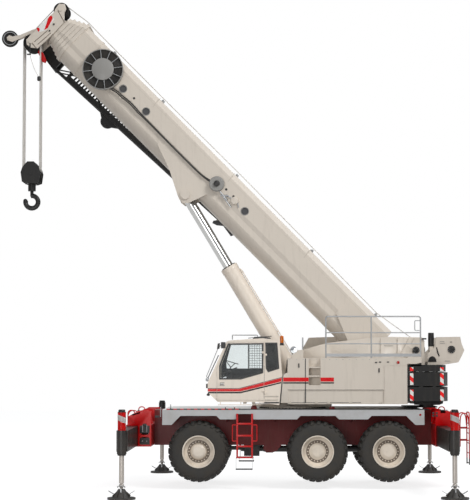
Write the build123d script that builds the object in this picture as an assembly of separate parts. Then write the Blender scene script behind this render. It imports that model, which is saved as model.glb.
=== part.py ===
"""Three-axle rough-terrain telescopic crane standing on its outriggers.

Millimetres. +X points to the rear, -Y is the left side with the cab, +Z is up.
The floor is Z = 0. Everything is laid out from the slewing axis, and the whole
machine is moved along X at the end so that the middle of its length is at X = 0.
"""
import os
from math import atan2, cos, degrees, hypot, pi, radians, sin

from build123d import *

# Ground, deck and slewing bearing
deck_top = 2088.0
deck_plate = 40.0
deck_half_length = 3437.0
deck_half_width = 1600.0
skirt_wall = 25.0
skirt_over_wheel = 1927.0
skirt_between = 1835.0
skirt_end = 1690.0
skirt_cut = 95.0
ring_radius = 866.0
ring_wall = 110.0
ring_low = 2060.0
ring_split = 2100.0
ring_top = 2139.0
ring_gap = 0.3

# Carrier frame
frame_half_width = 550.0
frame_bottom = 1107.0
frame_arch = 1300.0
arch_half_length = 420.0

# Axles and wheels: name, distance from the slewing axis, share of the steering
axles = [
    ("front", -2488.0, 1.0),
    ("middle", 638.0, 0.6),
    ("rear", 2504.0, 1.0),
]
axle_height = 986.0
axle_tube_radius = 120.0
bowl_radius = 260.0
bowl_width = 320.0
kingpin_y = 980.0
kingpin_radius = 48.0
fork_reach = 235.0
fork_thickness = 60.0
tyre_radius = 806.0
tyre_width = 597.0
tyre_outer_y = 1597.0
rim_radius = 405.0
rim_wall = 22.0
lug_height = 38.0
lug_count = 27
lug_share = 0.52
lug_inner = 12.0
hub_radius = 188.0
hub_bore = 97.5

# Outriggers: the beam that leaves to the left sits ahead of the one to the right
beam_width = 274.0
beam_height = 514.0
beam_wall = 16.0
beam_bottom = 1149.0
beam_gap = 8.0
pad_gap = 0.3
beam_spacing = 330.0
beam_past_deck = 783.0
box_wall = 18.0
jack_y = 4200.0
beam_engaged_y = 1000.0
jack_housing_radius = 119.0
jack_tube_radius = 98.0
jack_tube_top = 2114.0
jack_cap = 49.0
jack_housing_bottom = 1098.0
rod_radius = 61.0
rod_gap = 0.5
rod_top = 1380.0
float_radius = 343.0
float_plate = 46.0
float_height = 253.0

# Boom
boom_angle = 45.2
pivot_x = 1881.0
pivot_z = 3250.0
pivot_radius = 85.0
boom_top = 1213.0
boom_bottom = 35.0
boom_half_width = 440.0
shoulder_height = 145.0
shoulder_inset = 95.0
groove_top = 596.0
groove_bottom = 481.0
groove_inset = 38.0
shell_top = 328.0
boom_wall = 14.0
base_tail = 60.0
base_head = 11916.0
section_count = 5
step_top = 60.0
step_bottom = 44.0
step_side = 41.0
collar_length = 100.0
collar_pitch = 118.0
collar_rise = 68.0
collar_side = 30.0
first_tail = 480.0
tail_step = 110.0
pad_length = 60.0
pad_low = 640.0
pad_high = 800.0

# Stowed fly on the right side of the boom
fly_length = 8400.0
fly_width = 460.0
fly_depth = 480.0
fly_inner_y = 560.0
fly_chord = 33.0
fly_lace = 19.0
fly_bays = 9
fly_start_x = -11940.0
fly_start_z = -190.0
fly_tilt = -2.6
fly_hold_front = 480.0
fly_hold_rear = 6900.0

# Lift cylinder
lift_foot_x = 157.0
lift_foot_z = 2769.0
lift_eye_u = 6688.0
lift_eye_v = -125.0
lift_rod_radius = 140.0
lift_barrel_radius = 233.0
lift_barrel_wall = 30.0
lift_pin_radius = 75.0
lift_eye_radius = 150.0
lift_eye_half_width = 150.0
lift_gland = 3700.0
lift_gland_rise = 8.0
lift_rod_length = 3980.0
lift_neck = 300.0
lift_floor = 330.0
lug_gap = 20.0
lug_thickness = 40.0
cheek_half_gap = 372.0
cheek_thickness = 36.0

# Upper structure
plate_inner_y = 520.0
plate_thickness = 40.0
plate_top = 4010.0
upper_bottom = 2139.0
floor_thickness = 60.0
body_side_y = 1500.0
body_inner_y = 640.0
body_bottom = 2230.0
body_top = 3445.0
body_front_x = -150.0
body_rear_x = 3009.0
weight_front_x = 3017.0
weight_rear_x = 4101.0
slabs = [
    ("lower", 2306.0, 2679.0, 0.0),
    ("middle", 2705.0, 3067.0, 0.0),
    ("upper", 3086.0, 3263.0, 50.0),
]
weight_top = 3263.0
main_drum_x = 3330.0
main_drum_z = 3660.0
aux_drum_x = 4282.0
aux_drum_z = 3677.0
drum_radius = 190.0
flange_radius = 262.0
drum_half_length = 430.0
main_drum_end = 84.0
aux_drum_end = 94.0
cab_inner_y = -615.0
cab_wall = 45.0
glass_thickness = 12.0
cab_floor = 2288.0
rail_radius = 19.0
rail_y = 1440.0

# Boom head, ropes and hook block
head_gap = 16.0
head_depth = 412.0
head_half_width = 330.0
head_plate = 34.0
lower_sheave_ahead = 272.0
lower_sheave_v = -169.0
upper_sheave_ahead = 342.0
upper_sheave_v = 1033.0
sheave_radius = 235.0
upper_sheave_radius = 210.0
sheave_width = 62.0
groove_depth = 24.0
sheave_pin = 58.0
nose_reach = 410.0
nose_sheave_v = -512.0
nose_sheave_radius = 226.0
rope_radius = 13.0
rope_seat = 16.8
fall_ys = [-177.0, -59.0, 59.0, 177.0]
block_top_z = 8830.0
block_half_width = 275.0
hook_bottom_z = 7490.0

# Place of the slewing axis once the machine stands about the middle of its length
slew_x = 1690.0

os.makedirs("parts", exist_ok=True)


def block(x0, x1, y0, y1, z0, z1):
    """A box between two corners."""
    return Pos((x0 + x1) / 2, (y0 + y1) / 2, (z0 + z1) / 2) * Box(x1 - x0, y1 - y0, z1 - z0)


def rod_x(y, z, r, x0, x1):
    return Pos((x0 + x1) / 2, y, z) * Rot(0, 90, 0) * Cylinder(r, abs(x1 - x0))


def rod_y(x, z, r, y0, y1):
    return Pos(x, (y0 + y1) / 2, z) * Rot(90, 0, 0) * Cylinder(r, abs(y1 - y0))


def rod_z(x, y, r, z0, z1):
    return Pos(x, y, (z0 + z1) / 2) * Cylinder(r, abs(z1 - z0))


def side_plate(points, y0, y1):
    """A plate with an outline drawn in side view."""
    outline = Polyline([(x, y0, z) for x, z in points], close=True)
    return extrude(make_face(outline), y1 - y0, dir=(0, 1, 0))


def plan_plate(points, z0, z1):
    """A plate with an outline drawn from above."""
    outline = Polyline([(x, y, z0) for x, y in points], close=True)
    return extrude(make_face(outline), z1 - z0, dir=(0, 0, 1))


def end_plate(points, x0, x1):
    """A plate with an outline drawn from the end."""
    outline = Polyline([(x0, y, z) for y, z in points], close=True)
    return extrude(make_face(outline), x1 - x0, dir=(1, 0, 0))


def turned(points, x, z, side=1):
    """A solid of revolution about a crosswise axis; points are radius and distance along it."""
    outline = Polyline([(x, side * w, z + r) for r, w in points], close=True)
    return revolve(make_face(outline), Axis((x, 0, z), (0, 1, 0)), 360)


def tube(points, radius, bend=60.0):
    """A bent tube along a route of straight runs."""
    path = FilletPolyline(points, radius=bend) if len(points) > 2 else Line(points[0], points[1])
    start = Plane(origin=path @ 0, z_dir=path % 0)
    return sweep(start * Circle(radius), path)


def as_list(shape):
    return list(shape.solids())


def save(name, *shapes):
    """Writes one node with its solids, moved to the middle of the machine."""
    solids = []
    for shape in shapes:
        solids += as_list(shape)
    moved = [Pos(slew_x, 0, 0) * s for s in solids]
    out = moved[0] if len(moved) == 1 else Compound(children=moved)
    export_step(out, "parts/" + name + ".step")


def on_boom(shape):
    """Takes a shape drawn with the boom level, pivot at the origin, to its place."""
    return Pos(pivot_x, 0, pivot_z) * Rot(0, boom_angle, 0) * shape


def boom_point(u, v):
    """Side-view position of a point that lies u along the boom and v above its pivot."""
    a = radians(boom_angle)
    return (pivot_x - u * cos(a) + v * sin(a), pivot_z + u * sin(a) + v * cos(a))


# CARRIER
outer_beam_x = deck_half_length + beam_past_deck
frame_front = -outer_beam_x + beam_spacing + beam_width / 2 + beam_gap + box_wall
frame_rear = -frame_front
box_outer = outer_beam_x + beam_width / 2 + beam_gap + box_wall
box_top = beam_bottom + beam_height + beam_gap + box_wall
box_bottom = beam_bottom - beam_gap - box_wall
deck_under = deck_top - deck_plate
head_start = base_head + 18 + collar_pitch * (section_count - 2) + collar_length + head_gap
head_face = head_start + head_depth
lower_sheave_u = head_start + lower_sheave_ahead
upper_sheave_u = head_start + upper_sheave_ahead
nose_sheave_u = head_face + nose_reach


def carrier_frame():
    """Box frame that rises over each axle, with the pedestal of the slewing bearing."""
    low = [(frame_front, frame_bottom)]
    for _, x, _ in axles:
        low += [
            (x - arch_half_length, frame_bottom),
            (x - arch_half_length + 140, frame_arch),
            (x + arch_half_length - 140, frame_arch),
            (x + arch_half_length, frame_bottom),
        ]
    low += [(frame_rear, frame_bottom), (frame_rear, deck_under), (frame_front, deck_under)]
    body = side_plate(low, -frame_half_width, frame_half_width)
    pedestal = rod_z(0, 0, ring_radius - 60, deck_under - 10, ring_low)
    body = body + pedestal
    for side in (-1, 1):
        a, b = sorted((side * frame_half_width, side * (frame_half_width - 60)))
        sill = side_plate([(-790, frame_bottom + 2), (-790, 1000), (-720, 900), (-545, 900), (-420, 960),
                           (-300, frame_bottom + 2)], a, b)
        body = body + sill
        for x in (-3300, -1750, -500, 1570, 3300):
            reach = deck_half_width - skirt_wall
            arm = end_plate([(side * (frame_half_width - 10), deck_under), (side * reach, deck_under),
                             (side * reach, deck_under - 90), (side * (frame_half_width - 10), deck_under - 330)],
                            x - 12, x + 12)
            body = body + arm
    return body


def skirt(side):
    """Side skirt of the deck, cut higher over each wheel."""
    line = [(-deck_half_length, skirt_end), (-deck_half_length + 242, skirt_end)]
    for name, x, _ in axles:
        lead = 240 if name == "front" else skirt_cut
        tail = 240 if name == "rear" else skirt_cut
        low_in = skirt_end if name == "front" else skirt_between
        low_out = skirt_end if name == "rear" else skirt_between
        rise_x = x - 545
        fall_x = x + 470 if name == "front" else x + 465
        if name == "front":
            line.append((rise_x + 76, skirt_over_wheel))
        else:
            line += [(rise_x, low_in), (rise_x + lead, skirt_over_wheel)]
        if name == "rear":
            line += [(x + 455, skirt_over_wheel), (x + 455 + tail, low_out)]
        else:
            line += [(fall_x, skirt_over_wheel), (fall_x + tail, low_out)]
    line += [(deck_half_length, skirt_end), (deck_half_length, deck_under), (-deck_half_length, deck_under)]
    y = side * deck_half_width
    plate = side_plate(line, min(y, y - side * skirt_wall), max(y, y - side * skirt_wall))
    return plate


ladder_x0 = -1505.0
ladder_x1 = -1067.0


def deck():
    """Deck plate with its skirts and the gap of the side ladder."""
    plate = block(-deck_half_length, deck_half_length, -deck_half_width, deck_half_width, deck_under, deck_top)
    plate = plate - rod_z(0, 0, ring_radius + 30, deck_under - 1, deck_top + 1)
    whole = plate + skirt(-1) + skirt(1)
    for x in (-deck_half_length, deck_half_length):
        for side in (-1, 1):
            a, b = sorted((side * (frame_half_width + 5), side * deck_half_width))
            near, far = sorted((x, x - skirt_wall if x > 0 else x + skirt_wall))
            whole = whole + block(near, far, a, b, 1950, deck_under)
    for side in (-1, 1):
        y0, y1 = sorted((side * (deck_half_width + 5), side * (deck_half_width - 60)))
        whole = whole - block(ladder_x0, ladder_x1, y0, y1, skirt_between - 10, 1977)
    return whole


def outrigger_box(end):
    """Twin-cell box across the carrier; end is -1 at the front and 1 at the rear."""
    x_out = end * box_outer
    x_in = end * (-frame_front)
    x0, x1 = sorted((x_out, x_in))
    y = deck_half_width
    box = block(x0, x1, -y, y, box_bottom, box_top)
    for side in (-1, 1):
        x = beam_x(end, side)
        half = beam_width / 2 + beam_gap
        box = box - block(x - half, x + half, -y - 1, y + 1, beam_bottom - beam_gap, box_top - box_wall)
        mouth = side * y
        for inner in (0, 420):
            a, b = sorted((mouth - side * inner, mouth - side * (inner + 120)))
            box = box + block(x - 90, x + 90, a, b, beam_bottom - beam_gap - 2, beam_bottom - pad_gap)
    for side in (-1, 1):
        ya, yb = sorted((side * y, side * (y - 26)))
        far = beam_x(end, -side)
        low, high = sorted((x_in, end * (outer_beam_x + 120)))
        cheek = side_plate(
            [(low, box_top - 4), (high, box_top - 4), (high, 1990 if end > 0 else 2070),
             (high - 170, 2144), (low + 170, 2144), (low, 2070 if end > 0 else 1990)], ya, yb)
        box = box + cheek
        near_a, near_b = sorted((side * (y - 20), side * y))
        cell = side_plate(
            [(far - beam_width / 2 - 9, box_bottom), (far + beam_width / 2 + 9, box_bottom),
             (far + beam_width / 2 + 9, box_top), (far - beam_width / 2 - 9, box_top)], near_a, near_b)
        for z0, z1 in ((beam_bottom + 50, beam_bottom + 225), (beam_bottom + 285, beam_bottom + 470)):
            cell = cell - block(far - 90, far + 95, near_a - 1, near_b + 1, z0, z1)
        box = box + cell
    for y0 in (-620, 594):
        rib = side_plate([(x0 + 20, box_top - 4), (x1 - 20, box_top - 4), (x1 - 150, 2040), (x0 + 150, 2040)], y0, y0 + 26)
        box = box + rib
    return box


def beam_x(end, side):
    """Lengthwise place of a beam: the left one is always the one further forward."""
    outer, inner = end * outer_beam_x, end * (outer_beam_x - beam_spacing)
    front, back = min(outer, inner), max(outer, inner)
    return front if side < 0 else back


def axle_set():
    """Axle housings with their forks, the gearbox between and the shafts that join them."""
    out = []
    for name, x, _ in axles:
        tube_part = rod_y(x, axle_height, axle_tube_radius, -kingpin_y + 190, kingpin_y - 190)
        bowl = turned([(0.01, -bowl_width / 2), (150, -bowl_width / 2), (bowl_radius, -bowl_width / 2 + 110),
                       (bowl_radius, bowl_width / 2 - 110), (150, bowl_width / 2), (0.01, bowl_width / 2)],
                      x, axle_height)
        nose = rod_x(0, axle_height, 105, x - bowl_radius - 70, x + bowl_radius + 70)
        body = tube_part + bowl + nose
        for side in (-1, 1):
            a, b = sorted((side * (kingpin_y - 200), side * (kingpin_y - 120)))
            web = block(x - 110, x + 110, a, b, axle_height - fork_reach, axle_height + fork_reach)
            body = body + web
            for level in (-1, 1):
                z0, z1 = sorted((axle_height + level * fork_reach, axle_height + level * (fork_reach - fork_thickness)))
                a, b = sorted((side * (kingpin_y - 125), side * kingpin_y))
                arm = block(x - 75, x + 75, a, b, z0, z1) + rod_z(x, side * kingpin_y, 75, z0, z1)
                body = body + arm
                hole = rod_z(x, side * kingpin_y, kingpin_radius + 0.5, z0 - 1, z1 + 1)
                body = body - hole
            a, b = sorted((side * 300, side * 420))
            saddle = block(x - 90, x + 90, a, b, axle_height + 60, frame_arch)
            body = body + saddle
        out.append(body)
    case_x = -1110.0
    case = block(case_x - 210, case_x + 210, -230, 230, 790, frame_bottom)
    out.append(case)
    for x0, x1 in ((axles[0][1] + bowl_radius + 70, case_x - 210), (case_x + 210, axles[1][1] - bowl_radius - 70),
                   (axles[1][1] + bowl_radius + 70, axles[2][1] - bowl_radius - 70)):
        shaft = rod_x(0, axle_height, 45, x0, x1)
        for x in (x0 + 45, x1 - 45):
            shaft = shaft + rod_x(0, axle_height, 82, x - 45, x + 45)
        out.append(shaft)
    return out


def knuckle(x, side):
    """Steering knuckle with its kingpins and the spindle that carries the wheel."""
    a, b = sorted((side * (kingpin_y - 55), side * (kingpin_y + 150)))
    inner = fork_reach - fork_thickness - 6
    body = rod_y(x, axle_height, inner, a, b)
    body = body & block(x - 135, x + 135, a, b, axle_height - inner, axle_height + inner)
    spindle = rod_y(x, axle_height, hub_bore - pad_gap, side * (kingpin_y + 140), side * (kingpin_y + 390))
    pin = rod_z(x, side * kingpin_y, kingpin_radius, axle_height - fork_reach - 8, axle_height + fork_reach + 8)
    return body + spindle + pin


def rim(x, side, driven_dome):
    """Wheel rim: barrel, dished disc and hub."""
    o = tyre_outer_y
    i = tyre_outer_y - tyre_width
    disc_y = o - 210
    r = rim_radius
    points = [(r + 14, o - 20), (r + 14, o - 4), (r - 6, o - 4), (r - rim_wall, o - 34), (r - rim_wall, disc_y + 26),
              (r - 120, disc_y + 10), (hub_radius + 40, disc_y - 36), (hub_radius + 34, disc_y + 40),
              (hub_radius, disc_y + (118 if driven_dome else 60)), (hub_radius * 0.7, disc_y + (150 if driven_dome else 84)),
              (0.01, disc_y + (158 if driven_dome else 84)), (0.01, disc_y + 10), (hub_bore, disc_y + 10), (hub_bore, disc_y - 90),
              (150, disc_y - 90), (160, disc_y - 62), (hub_radius + 40, disc_y - 62), (r - 115, disc_y - 18),
              (r - rim_wall, disc_y - 2), (r - rim_wall, i + 34), (r - 6, i + 4), (r + 14, i + 4), (r + 14, i + 20),
              (r, i + 20), (r, o - 20)]
    return turned(points, x, axle_height, side)


def tread_bars(row):
    """One row of tread bars: a toothed ring whose teeth fall away over the shoulder."""
    pitch = 2 * pi / lug_count
    outline = []
    for k in range(lug_count):
        middle = (k + 0.5 * (row > 0)) * pitch
        for turn, r in ((-0.5 - lug_share / 2, 0), (-0.5 + lug_share / 2, 0), (-0.5 + lug_share / 2, 1), (0.5 - lug_share / 2, 1)):
            reach = tyre_radius - lug_height * r
            angle = middle + turn * pitch
            outline.append((reach * cos(angle), reach * sin(angle)))
    outline = [(outline[k][0], outline[k][1]) for k in range(len(outline))]
    inner, outer = lug_inner, tyre_width / 2
    y0, y1 = sorted((row * inner, row * outer))
    ring = side_plate(outline, y0, y1) - rod_y(0, 0, 560, y0 - 1, y1 + 1)
    crown = turned([(500, inner - 1), (tyre_radius + 1, inner - 1), (tyre_radius + 1, 215), (792, 245), (752, 283),
                    (705, 292), (500, 292)], 0, 0, row)
    return ring & crown


def tyre():
    """Tyre with its side walls and two staggered rows of bars, about its own centre."""
    h = tyre_width / 2
    carcass = tyre_radius - lug_height
    bead = rim_radius + 0.3
    half = [(bead, h - 20.3), (bead + 16, h - 20.3), (bead + 36, h - 3), (560, h), (650, h - 8), (carcass - 34, h - 50),
            (carcass - 4, h - 96)]
    points = half + [(r, -w) for r, w in reversed(half)]
    return turned(points, 0, 0) + tread_bars(-1) + tread_bars(1)


# BOOM SECTIONS
def boom_outline(inset_top, inset_bottom, inset_side, x):
    """Cross-section of a boom section: flat top, shoulders, plate sides and round shell."""
    top = boom_top - inset_top
    bottom = boom_bottom + inset_bottom
    half = boom_half_width - inset_side
    scale = (top - bottom) / (boom_top - boom_bottom)
    mid = bottom + (groove_top - boom_bottom) * scale
    low = bottom + (groove_bottom - boom_bottom) * scale
    shell = bottom + (shell_top - boom_bottom) * scale
    step = groove_inset * scale
    sh = shoulder_height * scale
    si = shoulder_inset * scale
    right = Polyline([(x, 0, top), (x, half - si, top), (x, half, top - sh), (x, half, mid),
                      (x, half - step, low), (x, half - step, shell)])
    left = Polyline([(x, 0, top), (x, -half + si, top), (x, -half, top - sh), (x, -half, mid),
                     (x, -half + step, low), (x, -half + step, shell)])
    curve = ThreePointArc((x, half - step, shell), (x, 0, bottom), (x, -half + step, shell))
    return make_face(right + left + curve)


def boom_tube(level, x_tail, x_head, top_rise=0.0, side_rise=0.0):
    """Hollow boom section number level, between two distances along the boom."""
    t, b, s = level * step_top, level * step_bottom, level * step_side
    outer = boom_outline(t - top_rise, b - side_rise, s - side_rise, -x_head)
    inner = boom_outline(t + boom_wall, b + boom_wall, s + boom_wall, -x_head)
    return extrude(outer - inner, x_head - x_tail, dir=(1, 0, 0))


def wear_pads(level, x_head):
    """Sliding pads inside the mouth of a section, one each side of the next section."""
    outer = boom_half_width - level * step_side - boom_wall
    inner = boom_half_width - (level + 1) * step_side + pad_gap
    pads = []
    for side in (-1, 1):
        a, b = sorted((side * (outer + 2), side * inner))
        pads.append(block(-x_head + 15, -x_head + 15 + pad_length, a, b, pad_low, pad_high))
    return pads


def base_section():
    """Base section with its collar, foot, lift lugs and side openings."""
    body = boom_tube(0, base_tail, base_head)
    body = body + boom_tube(0, base_head - collar_length, base_head, collar_rise, collar_side)
    body = body + boom_tube(0, base_head - 700, base_head - 640, 14, 14)
    for pad in wear_pads(0, base_head):
        body = body + pad
    for side in (-1, 1):
        a, b = sorted((side * (boom_half_width - 4), side * (boom_half_width + 30)))
        foot = side_plate([(-1500, 960), (-560, 960), (-330, 560), (60, 260), (150, 120), (165, 0), (110, -130),
                           (0, -165), (-130, -130), (-420, 60), (-1500, 500)], a, b)
        body = body + foot
        a, b = sorted((side * (boom_half_width - groove_inset - 12), side * (boom_half_width + 10)))
        filler = side_plate([(-700, 470), (-330, 470), (0, 165), (110, 60), (90, -60), (0, -110), (-80, -60), (-700, 440)],
                            a, b)
        body = body + filler
    body = body - rod_y(0, 0, pivot_radius + 0.5, -boom_half_width - 60, boom_half_width + 60)
    for side in (-1, 1):
        a, b = sorted((side * cheek_half_gap, side * (cheek_half_gap + cheek_thickness)))
        x, z = -lift_eye_u, lift_eye_v
        cheek = side_plate([(x - 1524, shell_top - 30), (x - 1352, groove_bottom), (x + 461, groove_bottom),
                            (x + 448, 380), (x + 328, boom_bottom + 2), (x + 224, z - 125), (x + 128, z - 205),
                            (x - 12, z - 220), (x - 142, z - 165), (x - 796, boom_bottom + 8)], a, b)
        boss = rod_y(-lift_eye_u, lift_eye_v, lift_pin_radius + 62, side * cheek_half_gap,
                     side * (cheek_half_gap + cheek_thickness + 48))
        body = body + cheek + boss
    body = body + rod_y(-lift_eye_u, lift_eye_v, lift_pin_radius, -cheek_half_gap - 5, cheek_half_gap + 5)
    for cu, cv, r in ((9939, 699, 97), (9051, 706, 97), (5213, 694, 97)):
        body = body - rod_y(-cu, cv, r, -boom_half_width - 60, boom_half_width + 60)
    hanger = side_plate([(-5700, -60), (-5680, -115), (-5560, -75), (-5420, 40), (-5200, 10), (-5070, -10), (-5040, 50),
                         (-5180, 340), (-5520, 340)], 366, 404)
    return body + hanger


def inner_section(level):
    """A telescoping section with its collar, rope guide and sliding pads."""
    tail = first_tail + tail_step * level
    head = base_head + 18 + collar_pitch * (level - 1) + collar_length
    body = boom_tube(level, tail, head)
    body = body + boom_tube(level, head - collar_length, head, collar_rise + 10, collar_side)
    for pad in wear_pads(level, head):
        body = body + pad
    top = boom_top - level * step_top + collar_rise + 10
    guide = side_plate([(-head + 12, top - 6), (-head + 84, top - 6), (-head + 72, top + 84), (-head + 40, top + 84)],
                       -40, 40)
    return body + guide


def tip_section():
    """Last section with the boom head: side plates, cross plates, sheave pins and nose arms."""
    body = boom_tube(section_count, first_tail + tail_step * section_count, head_start + 60)
    y_in, y_out = head_half_width - head_plate, head_half_width
    x, z = -upper_sheave_u, upper_sheave_v
    outline = [(-head_start, 500), (-head_start - 20, 860), (x + 146, z + 7), (x + 106, z + 117), (x - 14, z + 182),
               (x - 134, z + 87), (x - 104, z - 103), (-head_face, 860), (-head_face, -60)]
    x, z = -lower_sheave_u, lower_sheave_v
    outline += [(x - 124, z - 61), (x - 24, z - 141), (x + 116, z - 121), (-head_start - 10, -170), (-head_start, 120)]
    for side in (-1, 1):
        a, b = sorted((side * y_in, side * y_out))
        body = body + side_plate(outline, a, b)
    back = block(-head_start - 62, -head_start - 28, -y_in - 2, y_in + 2, 110, 760)
    front = block(-head_face, -head_face + 30, -y_in - 2, y_in + 2, 150, 720)
    web = block(-head_face + 20, -head_start - 40, -y_in - 2, y_in + 2, 420, 450)
    body = body + back + front + web
    for u, v in ((lower_sheave_u, lower_sheave_v), (upper_sheave_u, upper_sheave_v)):
        body = body + rod_y(-u, v, sheave_pin, -y_out - 26, y_out + 26)
    x_n, z_n = -nose_sheave_u, nose_sheave_v
    for side in (-1, 1):
        y = side * 62
        arm = side_plate([(-head_face + 10, 330), (-head_face - 130, 120), (x_n + 136, z_n + 272), (x_n + 20, z_n + 92),
                          (x_n - 70, z_n + 50), (x_n - 80, z_n - 40), (x_n - 10, z_n - 88), (x_n + 120, z_n - 20),
                          (-head_face - 144, -160), (-head_face + 10, 160)], y - 11, y + 11)
        body = body + arm
    body = body + rod_y(x_n, z_n, 42, -95, 95)
    return body


def sheave(x, z, y, radius, bore):
    """A grooved rope sheave."""
    w = sheave_width / 2
    points = [(bore, y - w), (bore + 40, y - w), (bore + 46, y - w * 0.45), (radius - 46, y - w * 0.45),
              (radius - 34, y - w), (radius, y - w), (radius - groove_depth, y), (radius, y + w),
              (radius - 34, y + w), (radius - 46, y + w * 0.45), (bore + 46, y + w * 0.45), (bore + 40, y + w),
              (bore, y + w)]
    return turned(points, x, z)


def reel():
    """Open cable reel with twelve spokes on the side of the base section."""
    gap = 62.0
    rim_ring = turned([(556, 0), (556, -120), (536, -120), (536, -24), (300, -24), (300, 0)], 0, 0)
    drum_part = turned([(0.01, -20), (300, -20), (300, -128), (0.01, -128)], 0, 0)
    whole = rim_ring + drum_part
    for n in range(12):
        spoke = Rot(0, 30 * n + 8, 0) * block(290, 545, -116, -20, -7, 7)
        whole = whole + spoke
    whole = whole + rod_y(0, 0, 90, -22, gap - pad_gap)
    return Pos(-10676, -boom_half_width - gap, 672) * whole


def small_reel():
    gap = 34.0
    disc = turned([(0.01, 0), (207, 0), (207, -60), (185, -86), (90, -86), (90, -60), (60, -60), (60, -100),
                   (0.01, -100)], 0, 0)
    disc = disc + rod_y(0, 0, 60, -2, gap - pad_gap)
    return Pos(-6274, -boom_half_width - gap, 672) * disc


def strut(a, b, r):
    """A round bar between two points."""
    start, end = Vector(*a), Vector(*b)
    way = end - start
    plane = Plane(origin=start, z_dir=way)
    return Solid.make_cylinder(r, way.length, plane)


def fly():
    """Stowed lattice fly: four chords, lacing, end frames, root fork and deflector on the far side."""
    y0, y1 = fly_inner_y, fly_inner_y + fly_width
    whole = None
    for y in (y0, y1):
        for z in (0, fly_depth):
            bar = block(0, fly_length, y - fly_chord, y + fly_chord, z - fly_chord, z + fly_chord)
            whole = bar if whole is None else whole + bar
    bay = fly_length / fly_bays
    for k in range(fly_bays):
        x0, x1 = k * bay, (k + 1) * bay
        up = k % 2 == 0
        for y in (y0, y1):
            z0, z1 = (0, fly_depth) if up else (fly_depth, 0)
            whole = whole + strut((x0 + 70, y, z0), (x1 - 70, y, z1), fly_lace)
        for z in (0, fly_depth):
            near, far = (y0, y1) if up else (y1, y0)
            whole = whole + strut((x0 + 190, near, z), (x1 - 190, far, z), fly_lace)
    for x in (0, fly_length):
        for y in (y0, y1):
            whole = whole + block(x - 42, x + 42, y - 42, y + 42, -42, fly_depth + 42)
        for z in (0, fly_depth):
            whole = whole + block(x - 40, x + 40, y0, y1, z - 40, z + 40)
    for y in (y0, y1):
        fork = side_plate([(20, -60), (-560, 40), (-760, 160), (-780, 260), (-700, 330), (-420, 420),
                           (20, fly_depth + 30)], y - 16, y + 16)
        whole = whole + fork
    mid = (y0 + y1) / 2
    for y in (mid - 70, mid + 40):
        ear = side_plate([(1760, 44), (1760, -40), (2000, -210), (2180, -210), (2440, -40), (2440, 44)], y, y + 30)
        whole = whole + ear
    whole = whole + rod_y(2090, -90, 200, mid - 38, mid + 38)
    for x in (1790, 2410):
        whole = whole + block(x - 28, x + 28, y0, y1, -26, 26)
    for x in (fly_hold_front, fly_hold_rear):
        post = block(x - 45, x + 45, y0 - 34, y0 + 10, -30, fly_depth + 330)
        arm = block(x - 45, x + 45, boom_half_width + pad_gap, y0 - 20, fly_depth + 250, fly_depth + 330)
        whole = whole + post + arm
    return Pos(fly_start_x, 0, fly_start_z) * Rot(0, fly_tilt, 0) * whole


# LIFT CYLINDER
eye_x, eye_z = boom_point(lift_eye_u, lift_eye_v)
lift_length = hypot(eye_x - lift_foot_x, eye_z - lift_foot_z)
lift_angle = degrees(atan2(eye_z - lift_foot_z, lift_foot_x - eye_x))


def on_lift(shape):
    """Takes a shape drawn along -X from the foot to the cylinder's place."""
    return Pos(lift_foot_x, 0, lift_foot_z) * Rot(0, lift_angle, 0) * shape


def lift_barrel():
    """Barrel with its gland and the eye at its foot."""
    r = lift_barrel_radius
    body = rod_x(0, 0, r, -lift_gland, -lift_neck)
    body = body + rod_x(0, 0, r + lift_gland_rise, -lift_gland, -lift_gland + 130)
    body = body - rod_x(0, 0, r - lift_barrel_wall, -lift_gland + 150, -lift_floor)
    body = body - rod_x(0, 0, lift_rod_radius + rod_gap, -lift_gland - 1, -lift_gland + 160)
    foot = rod_y(0, 0, lift_eye_radius, -lift_eye_half_width, lift_eye_half_width)
    foot = foot + block(-lift_neck - 10, 0, -lift_eye_half_width, lift_eye_half_width, -130, 130)
    return body + foot - rod_y(0, 0, lift_pin_radius + 1, -lift_eye_half_width - 1, lift_eye_half_width + 1)


def lift_rod():
    """Rod with its piston and the eye that hangs from the boom."""
    end = -lift_length + lift_rod_length
    body = rod_x(0, 0, lift_rod_radius, -lift_length + 90, end)
    piston = rod_x(0, 0, lift_barrel_radius - lift_barrel_wall - rod_gap, end - 330, end)
    eye = rod_y(-lift_length, 0, lift_eye_radius, -lift_eye_half_width, lift_eye_half_width)
    hole = rod_y(-lift_length, 0, lift_pin_radius + rod_gap, -lift_eye_half_width - 1, lift_eye_half_width + 1)
    return body + piston + eye - hole


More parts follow.
